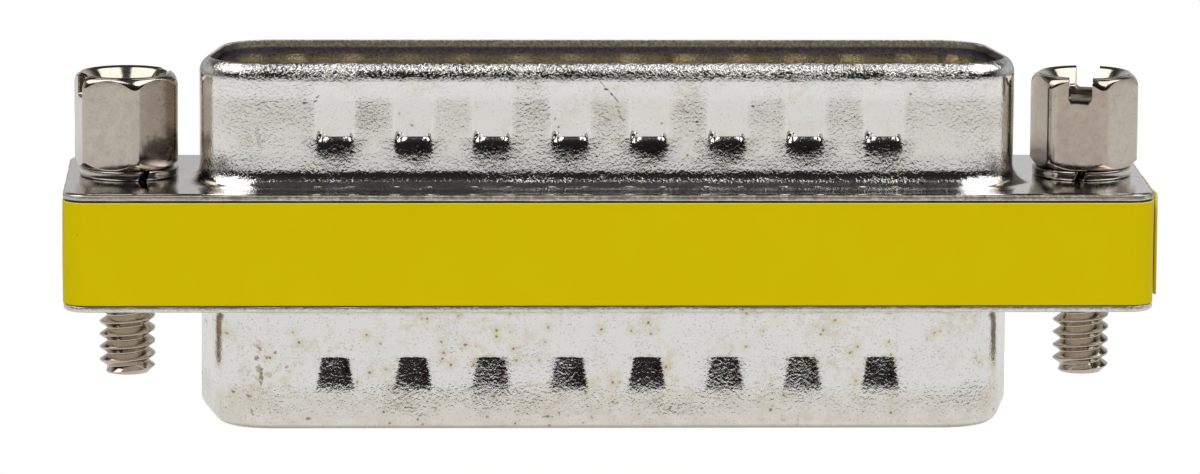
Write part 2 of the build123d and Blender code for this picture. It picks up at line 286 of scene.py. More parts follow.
def make_shell(name, turned, seed):
    """One drawn shell: collar with rolled mouth and pressed dimples, and its flange."""
    P, N = outline()
    cols = len(P)
    rows = []  # (grow, z, kind)
    for g, z in arc(0.36 + BASE_R, FACE_Z + BASE_R, BASE_R, 270, 180, 10):
        rows.append((g, z, "base"))
    rows.insert(0, (0.36 + BASE_R + 0.07, FACE_Z, "flat"))
    for z in list(np.linspace(3.82, 4.20, 4)[1:]) + list(np.linspace(4.20, 5.37, 19)[1:]):
        rows.append((0.36, z, "wall"))
    for z in (5.40, 5.425, 5.445, 5.47, 5.51):
        rows.append((0.36, z, "wall"))
    for z in list(np.linspace(5.51, 7.05, 22)[1:]) + list(np.linspace(7.05, 8.28, 9)[1:]):
        rows.append((0.36, z, "wall"))
    for g, z in arc(-0.44, 8.28, 0.80, 0, 64.0, 13)[1:]:
        rows.append((g, z, "rim"))
    rows += [(-0.105, 9.0, "land"), (-0.14, 8.998, "land"), (-0.163, 8.985, "cut"), (-0.17, 8.955, "cut")]
    rows += [(-0.17, z, "cut") for z in (8.88, 8.78, 8.69, 8.64)]
    for g, z in arc(-0.5, 8.25, 0.5, 46, 0, 7):
        rows.append((g, z, "inner"))
    for z in list(np.linspace(8.25, 3.82, 24)[1:]):
        rows.append((0.0, z, "inner"))
    for g, z in arc(1.26, 3.82, 1.26, 180, 270, 8)[1:]:
        rows.append((g, z, "flare"))
    rows.append((1.26 + 0.07, 2.56, "flat"))
    R = len(rows)
    grow = np.array([r[0] for r in rows])[:, None] * np.ones((1, cols))
    zz = np.array([r[1] for r in rows])[:, None] * np.ones((1, cols))
    kind = np.array([r[2] for r in rows])
    xx = P[:, 0][None, :] * np.ones((R, 1))
    on_long = (np.abs(N[:, 1]) > 0.999).astype(float)[None, :] * np.ones((R, 1))
    outer_rows = np.isin(kind, ["wall", "base"])[:, None] & (zz > 3.5)
    inner_rows = (kind == "inner")[:, None] & (zz > 3.8)
    grow = grow - np.where(outer_rows & (on_long > 0), dimple_depth(xx, zz, turned), 0)
    grow = grow - np.where(inner_rows & (on_long > 0), dimple_depth(xx, zz, turned, 0.08), 0)

    X = P[:, 0][None, :] + N[:, 0][None, :] * grow
    Y = P[:, 1][None, :] + N[:, 1][None, :] * grow
    flatp = np.stack([X, Y, zz], -1).reshape(-1, 3)
    peel = np.where(
        np.isin(kind, ["wall", "base", "rim", "land"])[:, None],
        peel_mask(xx, Y, zz, on_long, turned),
        np.where(np.isin(kind, ["inner", "cut"])[:, None], 0.55 + 0.9 * (1 - step(zz, 7.70, 7.95)), 0.06),
    )
    yellow_film_and_shade, deposit_and_dent_shade = stain_and_shade_masks(xx, zz, on_long, turned)
    outside = np.isin(kind, ["wall", "base", "rim", "land"])[:, None]
    yellow_film_and_shade, deposit_and_dent_shade = yellow_film_and_shade * outside, deposit_and_dent_shade * outside
    # sheet is not perfectly flat: broad waves, finer ones at the bends
    broad = waves(flatp, 2.5, 9.0, 14, seed).reshape(R, cols)
    mid = waves(flatp, 0.7, 1.6, 26, seed + 1).reshape(R, cols)
    fine = waves(flatp, 0.30, 0.55, 36, seed + 2).reshape(R, cols)
    is_out = np.isin(kind, ["wall", "rim", "base", "land"])[:, None]
    soft = np.clip(peel, 0, 1.4)
    amp = 0.0045 * broad + 0.0016 * soft * mid + 0.0012 * np.clip(soft - 0.35, 0, 2) * fine
    grow = grow + np.where(is_out, amp, 0.0) * np.where(kind == "land", 0.4, 1.0)[:, None]
    zz = zz + np.where((kind == "land")[:, None], 0.006 * fine + 0.003 * mid, 0)
    zz = np.minimum(zz, 9.0)
    cut = (kind == "cut")[:, None]
    grow = grow + np.where(cut, 0.006 * fine, 0)
    X = P[:, 0][None, :] + N[:, 0][None, :] * grow
    Y = P[:, 1][None, :] + N[:, 1][None, :] * grow
    verts = [np.stack([X, Y, zz], -1).reshape(-1, 3)]
    faces = grid_faces(R, cols)
    rolled = (kind == "inner")[:, None] & (zz > 8.26)
    raw = np.where(cut | (kind == "land")[:, None], 1.0, np.where(rolled, 0.75, 0.0)) * (1 - 0.85 * step(np.abs(xx), 17.3, 18.8))
    # painted reflection: a navy band high on the inside wall stands in for the reflection of the blue insulator
    deep = np.where((kind == "inner")[:, None], step(zz, 8.02, 8.16) * (1 - step(zz, 8.40, 8.60)), 0.0)
    peels, raws = [peel.ravel()], [raw.ravel()]
    yellow_films_and_shades, deposits_and_dent_shades, navy_reflection_bands = [yellow_film_and_shade.ravel()], [deposit_and_dent_shade.ravel()], [deep.ravel()]
    count = R * cols

    # flange edge: rolled over on the punch side, sharper below
    fl, fw, fr = 52.94 / 2, 12.50 / 2, 1.20
    op, on = [], []
    for cx, cy, a0 in (
        (fl - fr, -(fw - fr), -90),
        (fl - fr, fw - fr, 0),
        (-(fl - fr), fw - fr, 90),
        (-(fl - fr), -(fw - fr), 180),
    ):
        for t in np.radians(np.linspace(a0, a0 + 90, 15)):
            on.append((math.cos(t), math.sin(t)))
            op.append((cx + fr * math.cos(t), cy + fr * math.sin(t)))
        nxt = {-90: (0, 1), 0: (-1, 0), 90: (0, -1), 180: (1, 0)}[a0]
        length = 2 * (fw - fr) if a0 in (-90, 90) else 2 * (fl - fr)
        q = op[-1]
        pieces = 24 if a0 in (-90, 90) else 150
        for s in np.linspace(0, length, pieces)[1:-1]:
            op.append((q[0] + nxt[0] * s, q[1] + nxt[1] * s))
            on.append(on[-1])
    op, on = np.array(op), np.array(on)
    prof = [(0.46, 2.92), (0.30, 2.92), (0.24, 2.917), (0.18, 2.907), (0.12, 2.888), (0.07, 2.862), (0.03, 2.83), (0.008, 2.795), (0.0, 2.75)]
    prof += [(0.0, 2.70), (0.003, 2.66), (0.014, 2.62), (0.036, 2.587), (0.068, 2.566), (0.11, 2.56)]
    on_edge = [2.60 < z < 2.85 for _, z in prof]
    ewave = waves(np.column_stack([op, np.zeros(len(op))]), 0.4, 1.5, 20, seed + 3)
    for k, (inset, z) in enumerate(prof):
        wob = 0.008 * ewave if on_edge[k] else 0 * ewave
        q = op - on * (inset + 0.006 + wob)[:, None]
        verts.append(np.column_stack([q, np.full(len(q), z)]))
    nO = len(op)
    outer_start = count
    faces += grid_faces(len(prof), nO, start=count, flip=True)
    edge_tag = np.array([1.0 if e else 0.0 for e in on_edge])
    peels.append(np.repeat(0.25 + 1.2 * edge_tag, nO))
    raws.append(np.repeat(edge_tag * (0.45 if turned else 0.60), nO))
    count += len(prof) * nO
    top_rings, bottom_rings = [(op - on * 0.466, outer_start)], [(op - on * 0.116, outer_start + (len(prof) - 1) * nO)]
    # screw holes
    hole_n = 48
    ang = np.linspace(0, 2 * math.pi, hole_n, endpoint=False)
    for sx in (-23.52, 23.52):
        hp = [(1.66, 2.92), (1.61, 2.918), (1.58, 2.905), (1.565, 2.87), (1.56, 2.75), (1.56, 2.62), (1.57, 2.575), (1.60, 2.56), (1.66, 2.56)]
        hs = count
        for r, z in hp:
            verts.append(np.column_stack([sx + r * np.cos(ang), r * np.sin(ang), np.full(hole_n, z)]))
        faces += grid_faces(len(hp), hole_n, start=hs, flip=False)
        peels.append(np.full(len(hp) * hole_n, 0.2))
        raws.append(np.full(len(hp) * hole_n, 0.3))
        count += len(hp) * hole_n
        ring = np.column_stack([sx + 1.66 * np.cos(ang), 1.66 * np.sin(ang)])
        top_rings.append((ring, hs))
        bottom_rings.append((ring, hs + (len(hp) - 1) * hole_n))
    top_d = P + N * (0.36 + BASE_R + 0.07)
    bot_d = P + N * (1.26 + 0.07)
    top_rings.insert(1, (top_d, 0))
    bottom_rings.insert(1, (bot_d, (R - 1) * cols))
    for rings, z, up in ((top_rings, FACE_Z, True), (bottom_rings, 2.56, False)):
        index = np.concatenate([s + np.arange(len(r)) for r, s in rings])
        for tri in fill_plane([r for r, _ in rings], z, up, 0):
            faces.append([int(index[i]) for i in tri])
    V = np.concatenate(verts)
    for group in (yellow_films_and_shades, deposits_and_dent_shades, navy_reflection_bands):
        group.append(np.zeros(len(V) - R * cols))
    if turned:
        V = V * np.array([1, -1, -1])
    ob = build_mesh(name, V, faces, attrs={"peel": np.concatenate(peels), "raw": np.concatenate(raws), "yellow_film_and_shade": np.concatenate(yellow_films_and_shades), "deposit_and_dent_shade": np.concatenate(deposits_and_dent_shades), "deep": np.concatenate(navy_reflection_bands)})
    fix_normals(ob)
    return ob


def fix_normals(ob):
    bm = bmesh.new()
    bm.from_mesh(ob.data)
    bmesh.ops.recalc_face_normals(bm, faces=bm.faces)
    bm.to_mesh(ob.data)
    bm.free()
    ob.data.polygons.foreach_set("use_smooth", np.ones(len(ob.data.polygons), bool))
    ob.data.update()


# ------------------------------------------------------------------ label film
def make_label():
    L, W, R = 52.76 / 2, 12.36 / 2, 1.10
    pts, nrm = [], []
    for cx, cy, a0 in (
        (L - R, -(W - R), -90),
        (L - R, W - R, 0),
        (-(L - R), W - R, 90),
        (-(L - R), -(W - R), 180),
    ):
        for t in np.radians(np.linspace(a0, a0 + 90, 15)):
            nrm.append((math.cos(t), math.sin(t)))
            pts.append((cx + R * math.cos(t), cy + R * math.sin(t)))
        d = {-90: (0, 1), 0: (-1, 0), 90: (0, -1), 180: (1, 0)}[a0]
        length = 2 * (W - R) if a0 in (-90, 90) else 2 * (L - R)
        q = pts[-1]
        for s in np.linspace(0, length, 16 if a0 in (-90, 90) else 120)[1:-1]:
            pts.append((q[0] + d[0] * s, q[1] + d[1] * s))
            nrm.append(nrm[-1])
    P, N = np.array(pts), np.array(nrm)
    zs = list(np.linspace(-2.45, 2.44, 15))
    prof = [(0.012, -2.54), (0.085, -2.54), (0.112, -2.53), (0.12, -2.505)]
    prof += [(0.12, z) for z in zs]
    prof += [(0.12, 2.462), (0.112, 2.482), (0.085, 2.49), (0.012, 2.49), (0.012, 0.0)]
    verts, faces, edge = [], [], []
    puff = waves(np.column_stack([P, np.zeros(len(P))]), 6, 18, 10, 71)
    for g, z in prof:
        bulge = 0.0
        if g > 0.1:
            bulge = -0.020 + 0.0065 * np.clip(puff, -2.4, 2.4) * (1 - (z / 2.6) ** 2)
        q = P + N * (np.zeros(len(P)) + g + bulge)[:, None]
        verts.append(np.column_stack([q, np.full(len(q), z)]))
        edge.append(np.full(len(q), 1.0 if abs(z) > 2.465 else 0.0))
    faces += grid_faces(len(prof), len(P), wrap_rows=True)
    count = len(prof) * len(P)
    # lapped end on the right, coming round from the back, standing off a little
    x0 = L + 0.12
    path = np.array([(x0 - 0.02, 3.30), (x0 - 0.01, 2.9), (x0 + 0.05, 2.45), (x0 + 0.095, 1.9), (x0 + 0.105, 1.0)]
        + [(x0 + 0.105 + 0.015 * s, 1.0 - 4.4 * s) for s in (0.15, 0.3, 0.45, 0.6)]
        + [(x0 + 0.135, -2.10), (x0 + 0.165, -2.55), (x0 + 0.198, -2.95), (x0 + 0.222, -3.25), (x0 + 0.236, -3.40)])
    tang = np.gradient(path, axis=0)
    tang /= np.linalg.norm(tang, axis=1)[:, None]
    pn = np.column_stack([-tang[:, 1], tang[:, 0]])
    sec = [(0.0, -2.49), (0.0, 2.49), (0.035, 2.51), (0.095, 2.51), (0.115, 2.49)]
    sec += [(0.12, z) for z in np.linspace(2.3, -2.3, 8)] + [(0.115, -2.49), (0.095, -2.51), (0.035, -2.51)]
    start = count
    for i in range(len(path)):
        for g, z in sec:
            gg = g if i else g * 0.2
            q = path[i] + pn[i] * gg
            verts.append(np.array([[q[0], q[1], z]]))
            edge.append(np.array([1.0 if abs(z) > 2.48 or i == len(path) - 1 else 0.0]))
    ns = len(sec)
    faces += grid_faces(len(path), ns, start=start)
    faces.append([start + i for i in range(ns)])
    faces.append([start + (len(path) - 1) * ns + i for i in range(ns)][::-1])
    ob = build_mesh("label_film_band", np.concatenate(verts), faces, attrs={"edge": np.concatenate(edge)})
    fix_normals(ob)
    return ob


# ------------------------------------------------------------------ jackscrews
def hex_radius(phi, turn):
    """Radius of the rounded hexagon in direction phi; one corner points at turn."""
    a, rho = 4.75 / 2, 0.50
    rel = (phi - turn + math.pi / 6) % (math.pi / 3) - math.pi / 6
    dc = (a - rho) / math.cos(math.pi / 6)
    lim = math.atan2(rho * 0.5, dc + rho * math.cos(math.pi / 6))
    if abs(rel) <= lim:
        return dc * math.cos(rel) + math.sqrt(rho**2 - (dc * math.sin(rel)) ** 2)
    return a / math.cos(math.pi / 6 - abs(rel))


def helix(r_out, depth, pitch, z_lo, z_hi, phase, n_ang=64, crest=0.075, root=0.055):
    """Right-handed thread surface, cut flat at both ends and closed; crest passes
    height phase at the angle 180 degrees. Returns a bmesh in millimetres."""
    flank = (pitch - crest - root) / 2
    prof = soften(
        [(-root / 2 - flank * 0.0, r_out - depth), (root / 2, r_out - depth), (root / 2 + flank, r_out), (root / 2 + flank + crest, r_out), (pitch - root / 2, r_out - depth)],
        [0.05, 0.05, 0.05],
        2,
    )[:-1]
    s0 = prof[:, 0] - (root / 2 + flank + crest / 2)
    rr = prof[:, 1]
    turns = int(math.ceil((z_hi - z_lo) / pitch)) + 3
    n = turns * n_ang
    zb = z_lo - 1.5 * pitch
    shift = (phase - pitch * 0.5 - zb) % pitch
    verts = []
    k = len(s0)
    for i in range(n + 1):
        th = 2 * math.pi * i / n_ang
        for s, r in zip(s0, rr):
            verts.append((r * math.cos(th), r * math.sin(th), zb + shift + pitch * i / n_ang + s))
    faces = []
    for i in range(n - n_ang):
        for j in range(k):
            a = i * k + j
            b = (i + 1) * k + j
            if j + 1 < k:
                c, d = (i + 1) * k + j + 1, i * k + j + 1
            else:
                c, d = (i + 1 + n_ang) * k, (i + n_ang) * k
            faces.append((a, b, c, d))
    bm = bmesh.new()
    vs = [bm.verts.new(v) for v in verts]
    for f in faces:
        bm.faces.new([vs[i] for i in f])
    for v in [v for v in bm.verts if not v.link_faces]:
        bm.verts.remove(v)
    for z, keep_above in ((z_lo, True), (z_hi, False)):
        geom = bm.verts[:] + bm.edges[:] + bm.faces[:]
        res = bmesh.ops.bisect_plane(
            bm,
            geom=geom,
            dist=1e-6,
            plane_co=(0, 0, z),
            plane_no=(0, 0, 1),
            clear_inner=keep_above,
            clear_outer=not keep_above,
        )
        loop = [e for e in res["geom_cut"] if isinstance(e, bmesh.types.BMEdge)]
        bmesh.ops.triangle_fill(bm, use_beauty=True, use_dissolve=False, edges=loop)
    bmesh.ops.remove_doubles(bm, verts=bm.verts, dist=1e-5)
    return bm


def slot_cutter(name, sx, turn_deg):
    w, r, z0 = 1.16 / 2, 0.20, 6.90
    sec = [(w, 9.2), (w, z0 + r)] + [(w - r + r * math.cos(t), z0 + r + r * math.sin(t)) for t in np.radians(np.linspace(0, -90, 6))[1:]]
    sec += [(-x, z) for x, z in sec[::-1]]
    t = math.radians(turn_deg)
    dx, dy = math.cos(t), math.sin(t)
    verts = []
    for s in (-4.0, 4.0):
        for x, z in sec:
            verts.append((sx + dx * s - dy * x, dy * s + dx * x, z))
    n = len(sec)
    faces = [[i, (i + 1) % n, n + (i + 1) % n, n + i] for i in range(n)]
    faces.append(list(range(n))[::-1])
    faces.append(list(range(n, 2 * n)))
    ob = build_mesh(name, verts, faces, smooth=False)
    fix_normals(ob)
    return ob


def cut(ob, tool):
    m = ob.modifiers.new("cut", "BOOLEAN")
    m.operation = "DIFFERENCE"
    m.solver = "EXACT"
    m.object = tool
    bpy.context.view_layer.update()
    dg = bpy.context.evaluated_depsgraph_get()
    me = bpy.data.meshes.new_from_object(ob.evaluated_get(dg))
    old = ob.data
    ob.modifiers.clear()
    ob.data = me
    bpy.data.meshes.remove(old)


def bevel_sharp(ob, limit_deg, width_mm, seg=2, zmin=-1e9):
    bm = bmesh.new()
    bm.from_mesh(ob.data)
    bmesh.ops.remove_doubles(bm, verts=bm.verts, dist=2e-6)
    lim = math.radians(limit_deg)
    edges = [
        e
        for e in bm.edges
        if len(e.link_faces) == 2
        and e.calc_face_angle(0) > lim
        and min(v.co.z for v in e.verts) > zmin * MM
    ]
    bmesh.ops.bevel(
        bm,
        geom=edges,
        offset=width_mm * MM,
        offset_type="OFFSET",
        segments=seg,
        profile=0.5,
        affect="EDGES",
        clamp_overlap=True,
    )
    bmesh.ops.recalc_face_normals(bm, faces=bm.faces)
    bm.to_mesh(ob.data)
    bm.free()


HEX_TURN = {"left": 11.0, "right": 15.0}
SLOT_TURN = {"left": 25.0, "right": 79.5}
CREST_Z = {"left": -5.03, "right": -4.985}


def make_jackscrew(side):
    sx = -23.52 if side == "left" else 23.52
    corner_dir = math.radians(HEX_TURN[side] - 90)
    # columns, denser round each corner
    phis = []
    for f in range(6):
        base = corner_dir + f * math.pi / 3
        lim = math.radians(6.2)
        phis += list(base + np.linspace(-lim, lim, 10)[:-1])
        phis += list(base + np.linspace(lim, math.pi / 3 - lim, 15)[:-1])
    phis = np.array(phis)
    rows = []
    for phi in phis:
        r = hex_radius(phi, corner_dir)
        c_lo = r - 2.325
        c_hi = r - 2.255
        h = 0.145 + 1.47 * (c_hi - 0.12)
        a, b = (r, 8.0 - h), (2.25, 7.93)
        run = r - b[0]
        b2 = (b[0] + 0.34 * run, b[1] - 0.122 * run)
        k = (b[0] + 0.80 * run, b2[1] - 0.193 * run)
        lower = soften([(1.10, 3.40), (2.325, 3.40), (r, 3.40 + c_lo), a, k], [0.05, 0.06, 0.03], 3)[:-1]
        curve = []
        for t in (0.25, 0.40, 0.55, 0.70, 0.85, 1.0):
            curve.append([(1 - t) ** 2 * a[i] + 2 * t * (1 - t) * k[i] + t * t * b2[i] for i in (0, 1)])
        upper = soften([b2, b, (2.243, 7.986), (2.215, 8.0), (2.17, 8.0), (1.97, 7.915), (1.42, 7.22), (1.42, 4.2), (1.0, 3.95)], [0.012, 0.012, 0.012, 0.02, 0.04, 0.06, 0.05], 3)[1:]
        rows.append(np.concatenate([np.array(lower), np.array(curve), np.array(upper)]))
    rows = np.array(rows)  # (cols, rows, 2)
    cols, nr = rows.shape[:2]
    dents = []
    rng = np.random.default_rng(5 if side == "left" else 6)
    V = np.zeros((nr, cols, 3))
    for j in range(nr):
        V[j, :, 0] = rows[:, j, 0] * np.cos(phis)
        V[j, :, 1] = rows[:, j, 0] * np.sin(phis)
        V[j, :, 2] = rows[:, j, 1]
    # extra rows on the tall faces so that small waves have somewhere to live
    # (index of the wall segment: after three points of the second softened corner)
    i_wall = int(np.argmax(np.diff(rows[0, :, 1])))
    extra = 14
    top, bot = V[i_wall + 1], V[i_wall]
    mids = [bot + (top - bot) * t for t in np.linspace(0, 1, extra + 2)[1:-1]]
    V = np.concatenate([V[: i_wall + 1], np.array(mids), V[i_wall + 1 :]])
    nr = len(V)
    flat = V.reshape(-1, 3)
    w = waves(flat, 1.2, 4.0, 18, 31 if side == "left" else 37)
    rad = np.hypot(flat[:, 0], flat[:, 1])
    on_face = (rad > 2.3) & (flat[:, 2] > 3.6) & (flat[:, 2] < 7.8)
    scale = np.where(on_face, 1 + 0.0028 * w / np.maximum(rad, 1e-6), 1)
    flat[:, 0] *= scale
    flat[:, 1] *= scale
    flat[:, 0] += sx
    faces = grid_faces(nr, cols)
    faces.append([i for i in range(cols)][::-1])
    faces.append([(nr - 1) * cols + i for i in range(cols)])
    body = build_mesh("jackscrew_%s_hex" % side, flat, faces)
    fix_normals(body)
    tool = slot_cutter("slot_tool_%s" % side, sx, SLOT_TURN[side])
    cut(body, tool)
    bevel_sharp(body, 38, 0.028, 2, 6.5)

    # tapped thread in the socket: a ridge that winds down the bore
    ridge_v, ridge_f = [], []
    turns, na, pitch = 4.4, 40, 0.635
    n = int(turns * na)
    tri = [(1.47, -0.27), (1.24, -0.075), (1.15, -0.03), (1.15, 0.03), (1.24, 0.075), (1.47, 0.27)]
    for i in range(n + 1):
        th = 2 * math.pi * i / na
        z = 4.35 + pitch * i / na
        fade = min(1.0, i / 12.0, (n - i) / 10.0)
        for r, dz in tri:
            rr = 1.47 - (1.47 - r) * max(fade, 0.05)
            ridge_v.append((sx + rr * math.cos(th), rr * math.sin(th), z + dz * max(fade, 0.05)))
    k = len(tri)
    ridge_f += grid_faces(n + 1, k)
    ridge_f.append(list(range(k))[::-1])
    ridge_f.append([n * k + i for i in range(k)])
    ridge = build_mesh("socket_ridge_%s" % side, ridge_v, ridge_f)
    fix_normals(ridge)
    cut(ridge, tool)
    bpy.data.objects.remove(tool)

    # threaded stud with a chamfered point, and the neck above it
    bm = helix(1.37, 0.36, 0.635, -6.90, -2.70, CREST_Z[side], 64)
    for v in bm.verts:
        r = math.hypot(v.co.x, v.co.y)
        lim_r = 1.03 + (v.co.z + 6.90) * 1.0
        if r > lim_r and v.co.z < -6.3:
            v.co.x *= lim_r / r
            v.co.y *= lim_r / r
    for v in bm.verts:
        v.co.x += sx
        v.co *= MM
    bmesh.ops.recalc_face_normals(bm, faces=bm.faces)
    me = bpy.data.meshes.new("stud_%s" % side)
    bm.to_mesh(me)
    bm.free()
    stud = bpy.data.objects.new("stud_%s" % side, me)
    scene.collection.objects.link(stud)
    me.polygons.foreach_set("use_smooth", np.ones(len(me.polygons), bool))
    ang = np.linspace(0, 2 * math.pi, 48, endpoint=False)
    nv, nf = [], []
    prof = [(0.5, -2.8), (1.00, -2.8), (1.08, -2.72), (1.10, -2.6), (1.10, 0.0), (1.10, 3.3), (1.12, 3.42), (0.5, 3.42)]
    for r, z in prof:
        nv.append(np.column_stack([sx + r * np.cos(ang), r * np.sin(ang), np.full(48, z)]))
    nf = grid_faces(len(prof), 48)
    nf.append(list(range(48))[::-1])
    nf.append([(len(prof) - 1) * 48 + i for i in range(48)])
    neck = build_mesh("neck_%s" % side, np.concatenate(nv), nf)
    fix_normals(neck)
    whole = join([body, ridge, stud, neck], "jackscrew_%s_visual" % side)
    whole.data.set_sharp_from_angle(angle=math.radians(50))
    return whole


def join(objs, name):
    bm = bmesh.new()
    for o in objs:
        bm.from_mesh(o.data)
    me = bpy.data.meshes.new(name)
    bm.to_mesh(me)
    bm.free()
    for o in objs:
        bpy.data.objects.remove(o)
    ob = bpy.data.objects.new(name, me)
    scene.collection.objects.link(ob)
    me.polygons.foreach_set("use_smooth", np.ones(len(me.polygons), bool))
    return ob


# ------------------------------------------------------------------ washers
def make_washer(side):
    sx = -23.52 + 0.13 if side == "left" else 23.52 - 0.08
    split = math.radians((19.0 if side == "left" else -7.5) - 90)
    r0, r1, z0, z1, gap = 1.56, 2.44, 2.93, 3.39, 0.34
    sec = soften(
        [((r0 + r1) / 2, z0), (r1, z0 + 0.01), (r1, z1 - 0.01), (r0, z1), (r0, z0), ((r0 + r1) / 2 - 0.01, z0)],
        [0.10, 0.10, 0.06, 0.06],
        4,
    )[:-1]
    n = 110
    half = gap / 2 / 2.0
    verts, faces = [], []
    rng = np.random.default_rng(9)
    for i in range(n + 1):
        t = i / n
        for r, z in sec:
            skew = 0.44 * (z - (z0 + z1) / 2) / r1
            th = split + half + (2 * math.pi - 2 * half) * t + skew
            verts.append((sx + r * math.cos(th), r * math.sin(th), z))
    k = len(sec)
    faces += grid_faces(n + 1, k)
    faces.append(list(range(k))[::-1])
    faces.append([n * k + i for i in range(k)])
    ob = build_mesh("lock_washer_%s_visual" % side, verts, faces)
    fix_normals(ob)
    bevel_sharp(ob, 45, 0.02, 2)
    ob.data.polygons.foreach_set("use_smooth", np.ones(len(ob.data.polygons), bool))
    ob.data.set_sharp_from_angle(angle=math.radians(50))
    return ob


# ------------------------------------------------------------------ pins
def make_pin(number, x, turn):
    """A round wire cranked between the two rows, rounded at both tips."""
    s = -1.0 if turn == 0 else 1.0
    y0, rb, zt = 1.42, 0.80, 7.70
    path = [(s * y0, zt), (s * y0, rb + 0.02)]
    path += [(s * (y0 - rb + rb * math.cos(t)), rb - rb * math.sin(t)) for t in np.radians(np.linspace(0, 90, 9))]
    half = path[1:]
    centre = half[:]
    full = [(s * y0, z) for z in (7.2, 6.0, 4.0, 2.5)] + centre + [(-y, -z) for y, z in centre[::-1]] + [(-s * y0, -z) for z in (2.5, 4.0, 6.0, 7.2)]
    full = np.array(full)
    ns = 22
    ang = np.linspace(0, 2 * math.pi, ns, endpoint=False)
    tip = soften([(0.05, zt), (0.50, zt), (0.50, 7.2)], [0.32], 6)
    verts = []
    for r, z in tip[:-1]:
        verts.append([(x + r * math.cos(a), s * y0 + r * math.sin(a), z) for a in ang])
    tan = np.gradient(full, axis=0)
    tan /= np.linalg.norm(tan, axis=1)[:, None]
    for (y, z), (ty, tz) in zip(full, tan):
        # the section frame: x axis, and the perpendicular in the Y-Z plane
        verts.append([(x + 0.5 * math.cos(a), y - 0.5 * math.sin(a) * tz, z + 0.5 * math.sin(a) * ty) for a in ang])
    # the tip at the other end, in the same winding
    for r, z in tip[:-1][::-1]:
        verts.append([(x + r * math.cos(a), -s * y0 + r * math.sin(a), -z) for a in ang])
    V = np.array(verts).reshape(-1, 3)
    # the first rings run with +sin, the swept ones with -sin*tz where tz = -1
    n = len(verts)
    faces = grid_faces(n, ns)
    faces.append(list(range(ns))[::-1])
    faces.append([(n - 1) * ns + i for i in range(ns)])
    ob = build_mesh("pin_%02d" % number, V, faces)
    fix_normals(ob)
    return ob


# ------------------------------------------------------------------ materials
class Tree:
    def __init__(self, name):
        self.mat = bpy.data.materials.new(name)
        self.mat.use_nodes = True
        self.nt = self.mat.node_tree
        self.nt.nodes.clear()
        self.out = self.nt.nodes.new("ShaderNodeOutputMaterial")
        self.bsdf = self.nt.nodes.new("ShaderNodeBsdfPrincipled")
        self.nt.links.new(self.bsdf.outputs[0], self.out.inputs["Surface"])
        self.coord = self.nt.nodes.new("ShaderNodeTexCoord").outputs["Object"]
        mapping = self.nt.nodes.new("ShaderNodeMapping")
        mapping.inputs["Scale"].default_value = (1000, 1000, 1000)
        self.link(self.coord, mapping.inputs["Vector"])
        self.mm = mapping.outputs["Vector"]

    def link(self, a, b):
        self.nt.links.new(a, b)

    def put(self, socket, value):
        if isinstance(value, bpy.types.NodeSocket):
            self.link(value, socket)
        else:
            socket.default_value = value

    def m(self, op, a, b=0.0, c=0.0, clamp=False):
        n = self.nt.nodes.new("ShaderNodeMath")
        n.operation = op
        n.use_clamp = clamp
        self.put(n.inputs[0], a)
        self.put(n.inputs[1], b)
        if len(n.inputs) > 2:
            self.put(n.inputs[2], c)
        return n.outputs[0]

    def noise(self, scale, detail=2.0, rough=0.5, distortion=0.0, vec=None):
        n = self.nt.nodes.new("ShaderNodeTexNoise")
        n.inputs["Scale"].default_value = scale
        n.inputs["Detail"].default_value = detail
        n.inputs["Roughness"].default_value = rough
        n.inputs["Distortion"].default_value = distortion
        self.link(vec or self.mm, n.inputs["Vector"])
        return n.outputs["Fac"]

    def voronoi(self, scale, feature="F1", randomness=1.0, vec=None, out="Distance", flat=False):
        n = self.nt.nodes.new("ShaderNodeTexVoronoi")
        if flat:
            n.voronoi_dimensions = "2D"
        n.feature = feature
        n.inputs["Scale"].default_value = scale
        n.inputs["Randomness"].default_value = randomness
        self.link(vec or self.mm, n.inputs["Vector"])
        return n.outputs[out]

    def ramp(self, fac, lo, hi, a=0.0, b=1.0):
        n = self.nt.nodes.new("ShaderNodeMapRange")
        n.interpolation_type = "SMOOTHSTEP"
        n.clamp = True
        self.put(n.inputs["Value"], fac)
        n.inputs["From Min"].default_value = lo
        n.inputs["From Max"].default_value = hi
        n.inputs["To Min"].default_value = a
        n.inputs["To Max"].default_value = b
        return n.outputs["Result"]

    def mix(self, fac, a, b):
        n = self.nt.nodes.new("ShaderNodeMix")
        n.data_type = "RGBA"
        self.put(n.inputs[0], fac)
        for sock, v in ((n.inputs[6], a), (n.inputs[7], b)):
            if isinstance(v, bpy.types.NodeSocket):
                self.link(v, sock)
            else:
                sock.default_value = (*v, 1.0)
        return n.outputs[2]

    def attr(self, name):
        n = self.nt.nodes.new("ShaderNodeAttribute")
        n.attribute_name = name
        return n.outputs["Fac"]

    def xyz(self):
        n = self.nt.nodes.new("ShaderNodeSeparateXYZ")
        self.link(self.mm, n.inputs[0])
        return n.outputs[0], n.outputs[1], n.outputs[2]

    def bump(self, height, distance, strength=1.0, normal=None):
        n = self.nt.nodes.new("ShaderNodeBump")
        n.inputs["Distance"].default_value = distance
        self.put(n.inputs["Strength"], strength)
        self.link(height, n.inputs["Height"])
        if normal is not None:
            self.link(normal, n.inputs["Normal"])
        return n.outputs["Normal"]

    def done(self, colour=None, rough=None, metal=None, normal=None, **other):
        b = self.bsdf.inputs
        for sock, v in (("Base Color", colour), ("Roughness", rough), ("Metallic", metal), ("Normal", normal)):
            if v is None:
                continue
            if sock == "Base Color" and not isinstance(v, bpy.types.NodeSocket):
                v = (*v, 1.0)
            self.put(b[sock], v)
        for k, v in other.items():
            self.put(b[k.replace("_", " ")], v)
        return self.mat


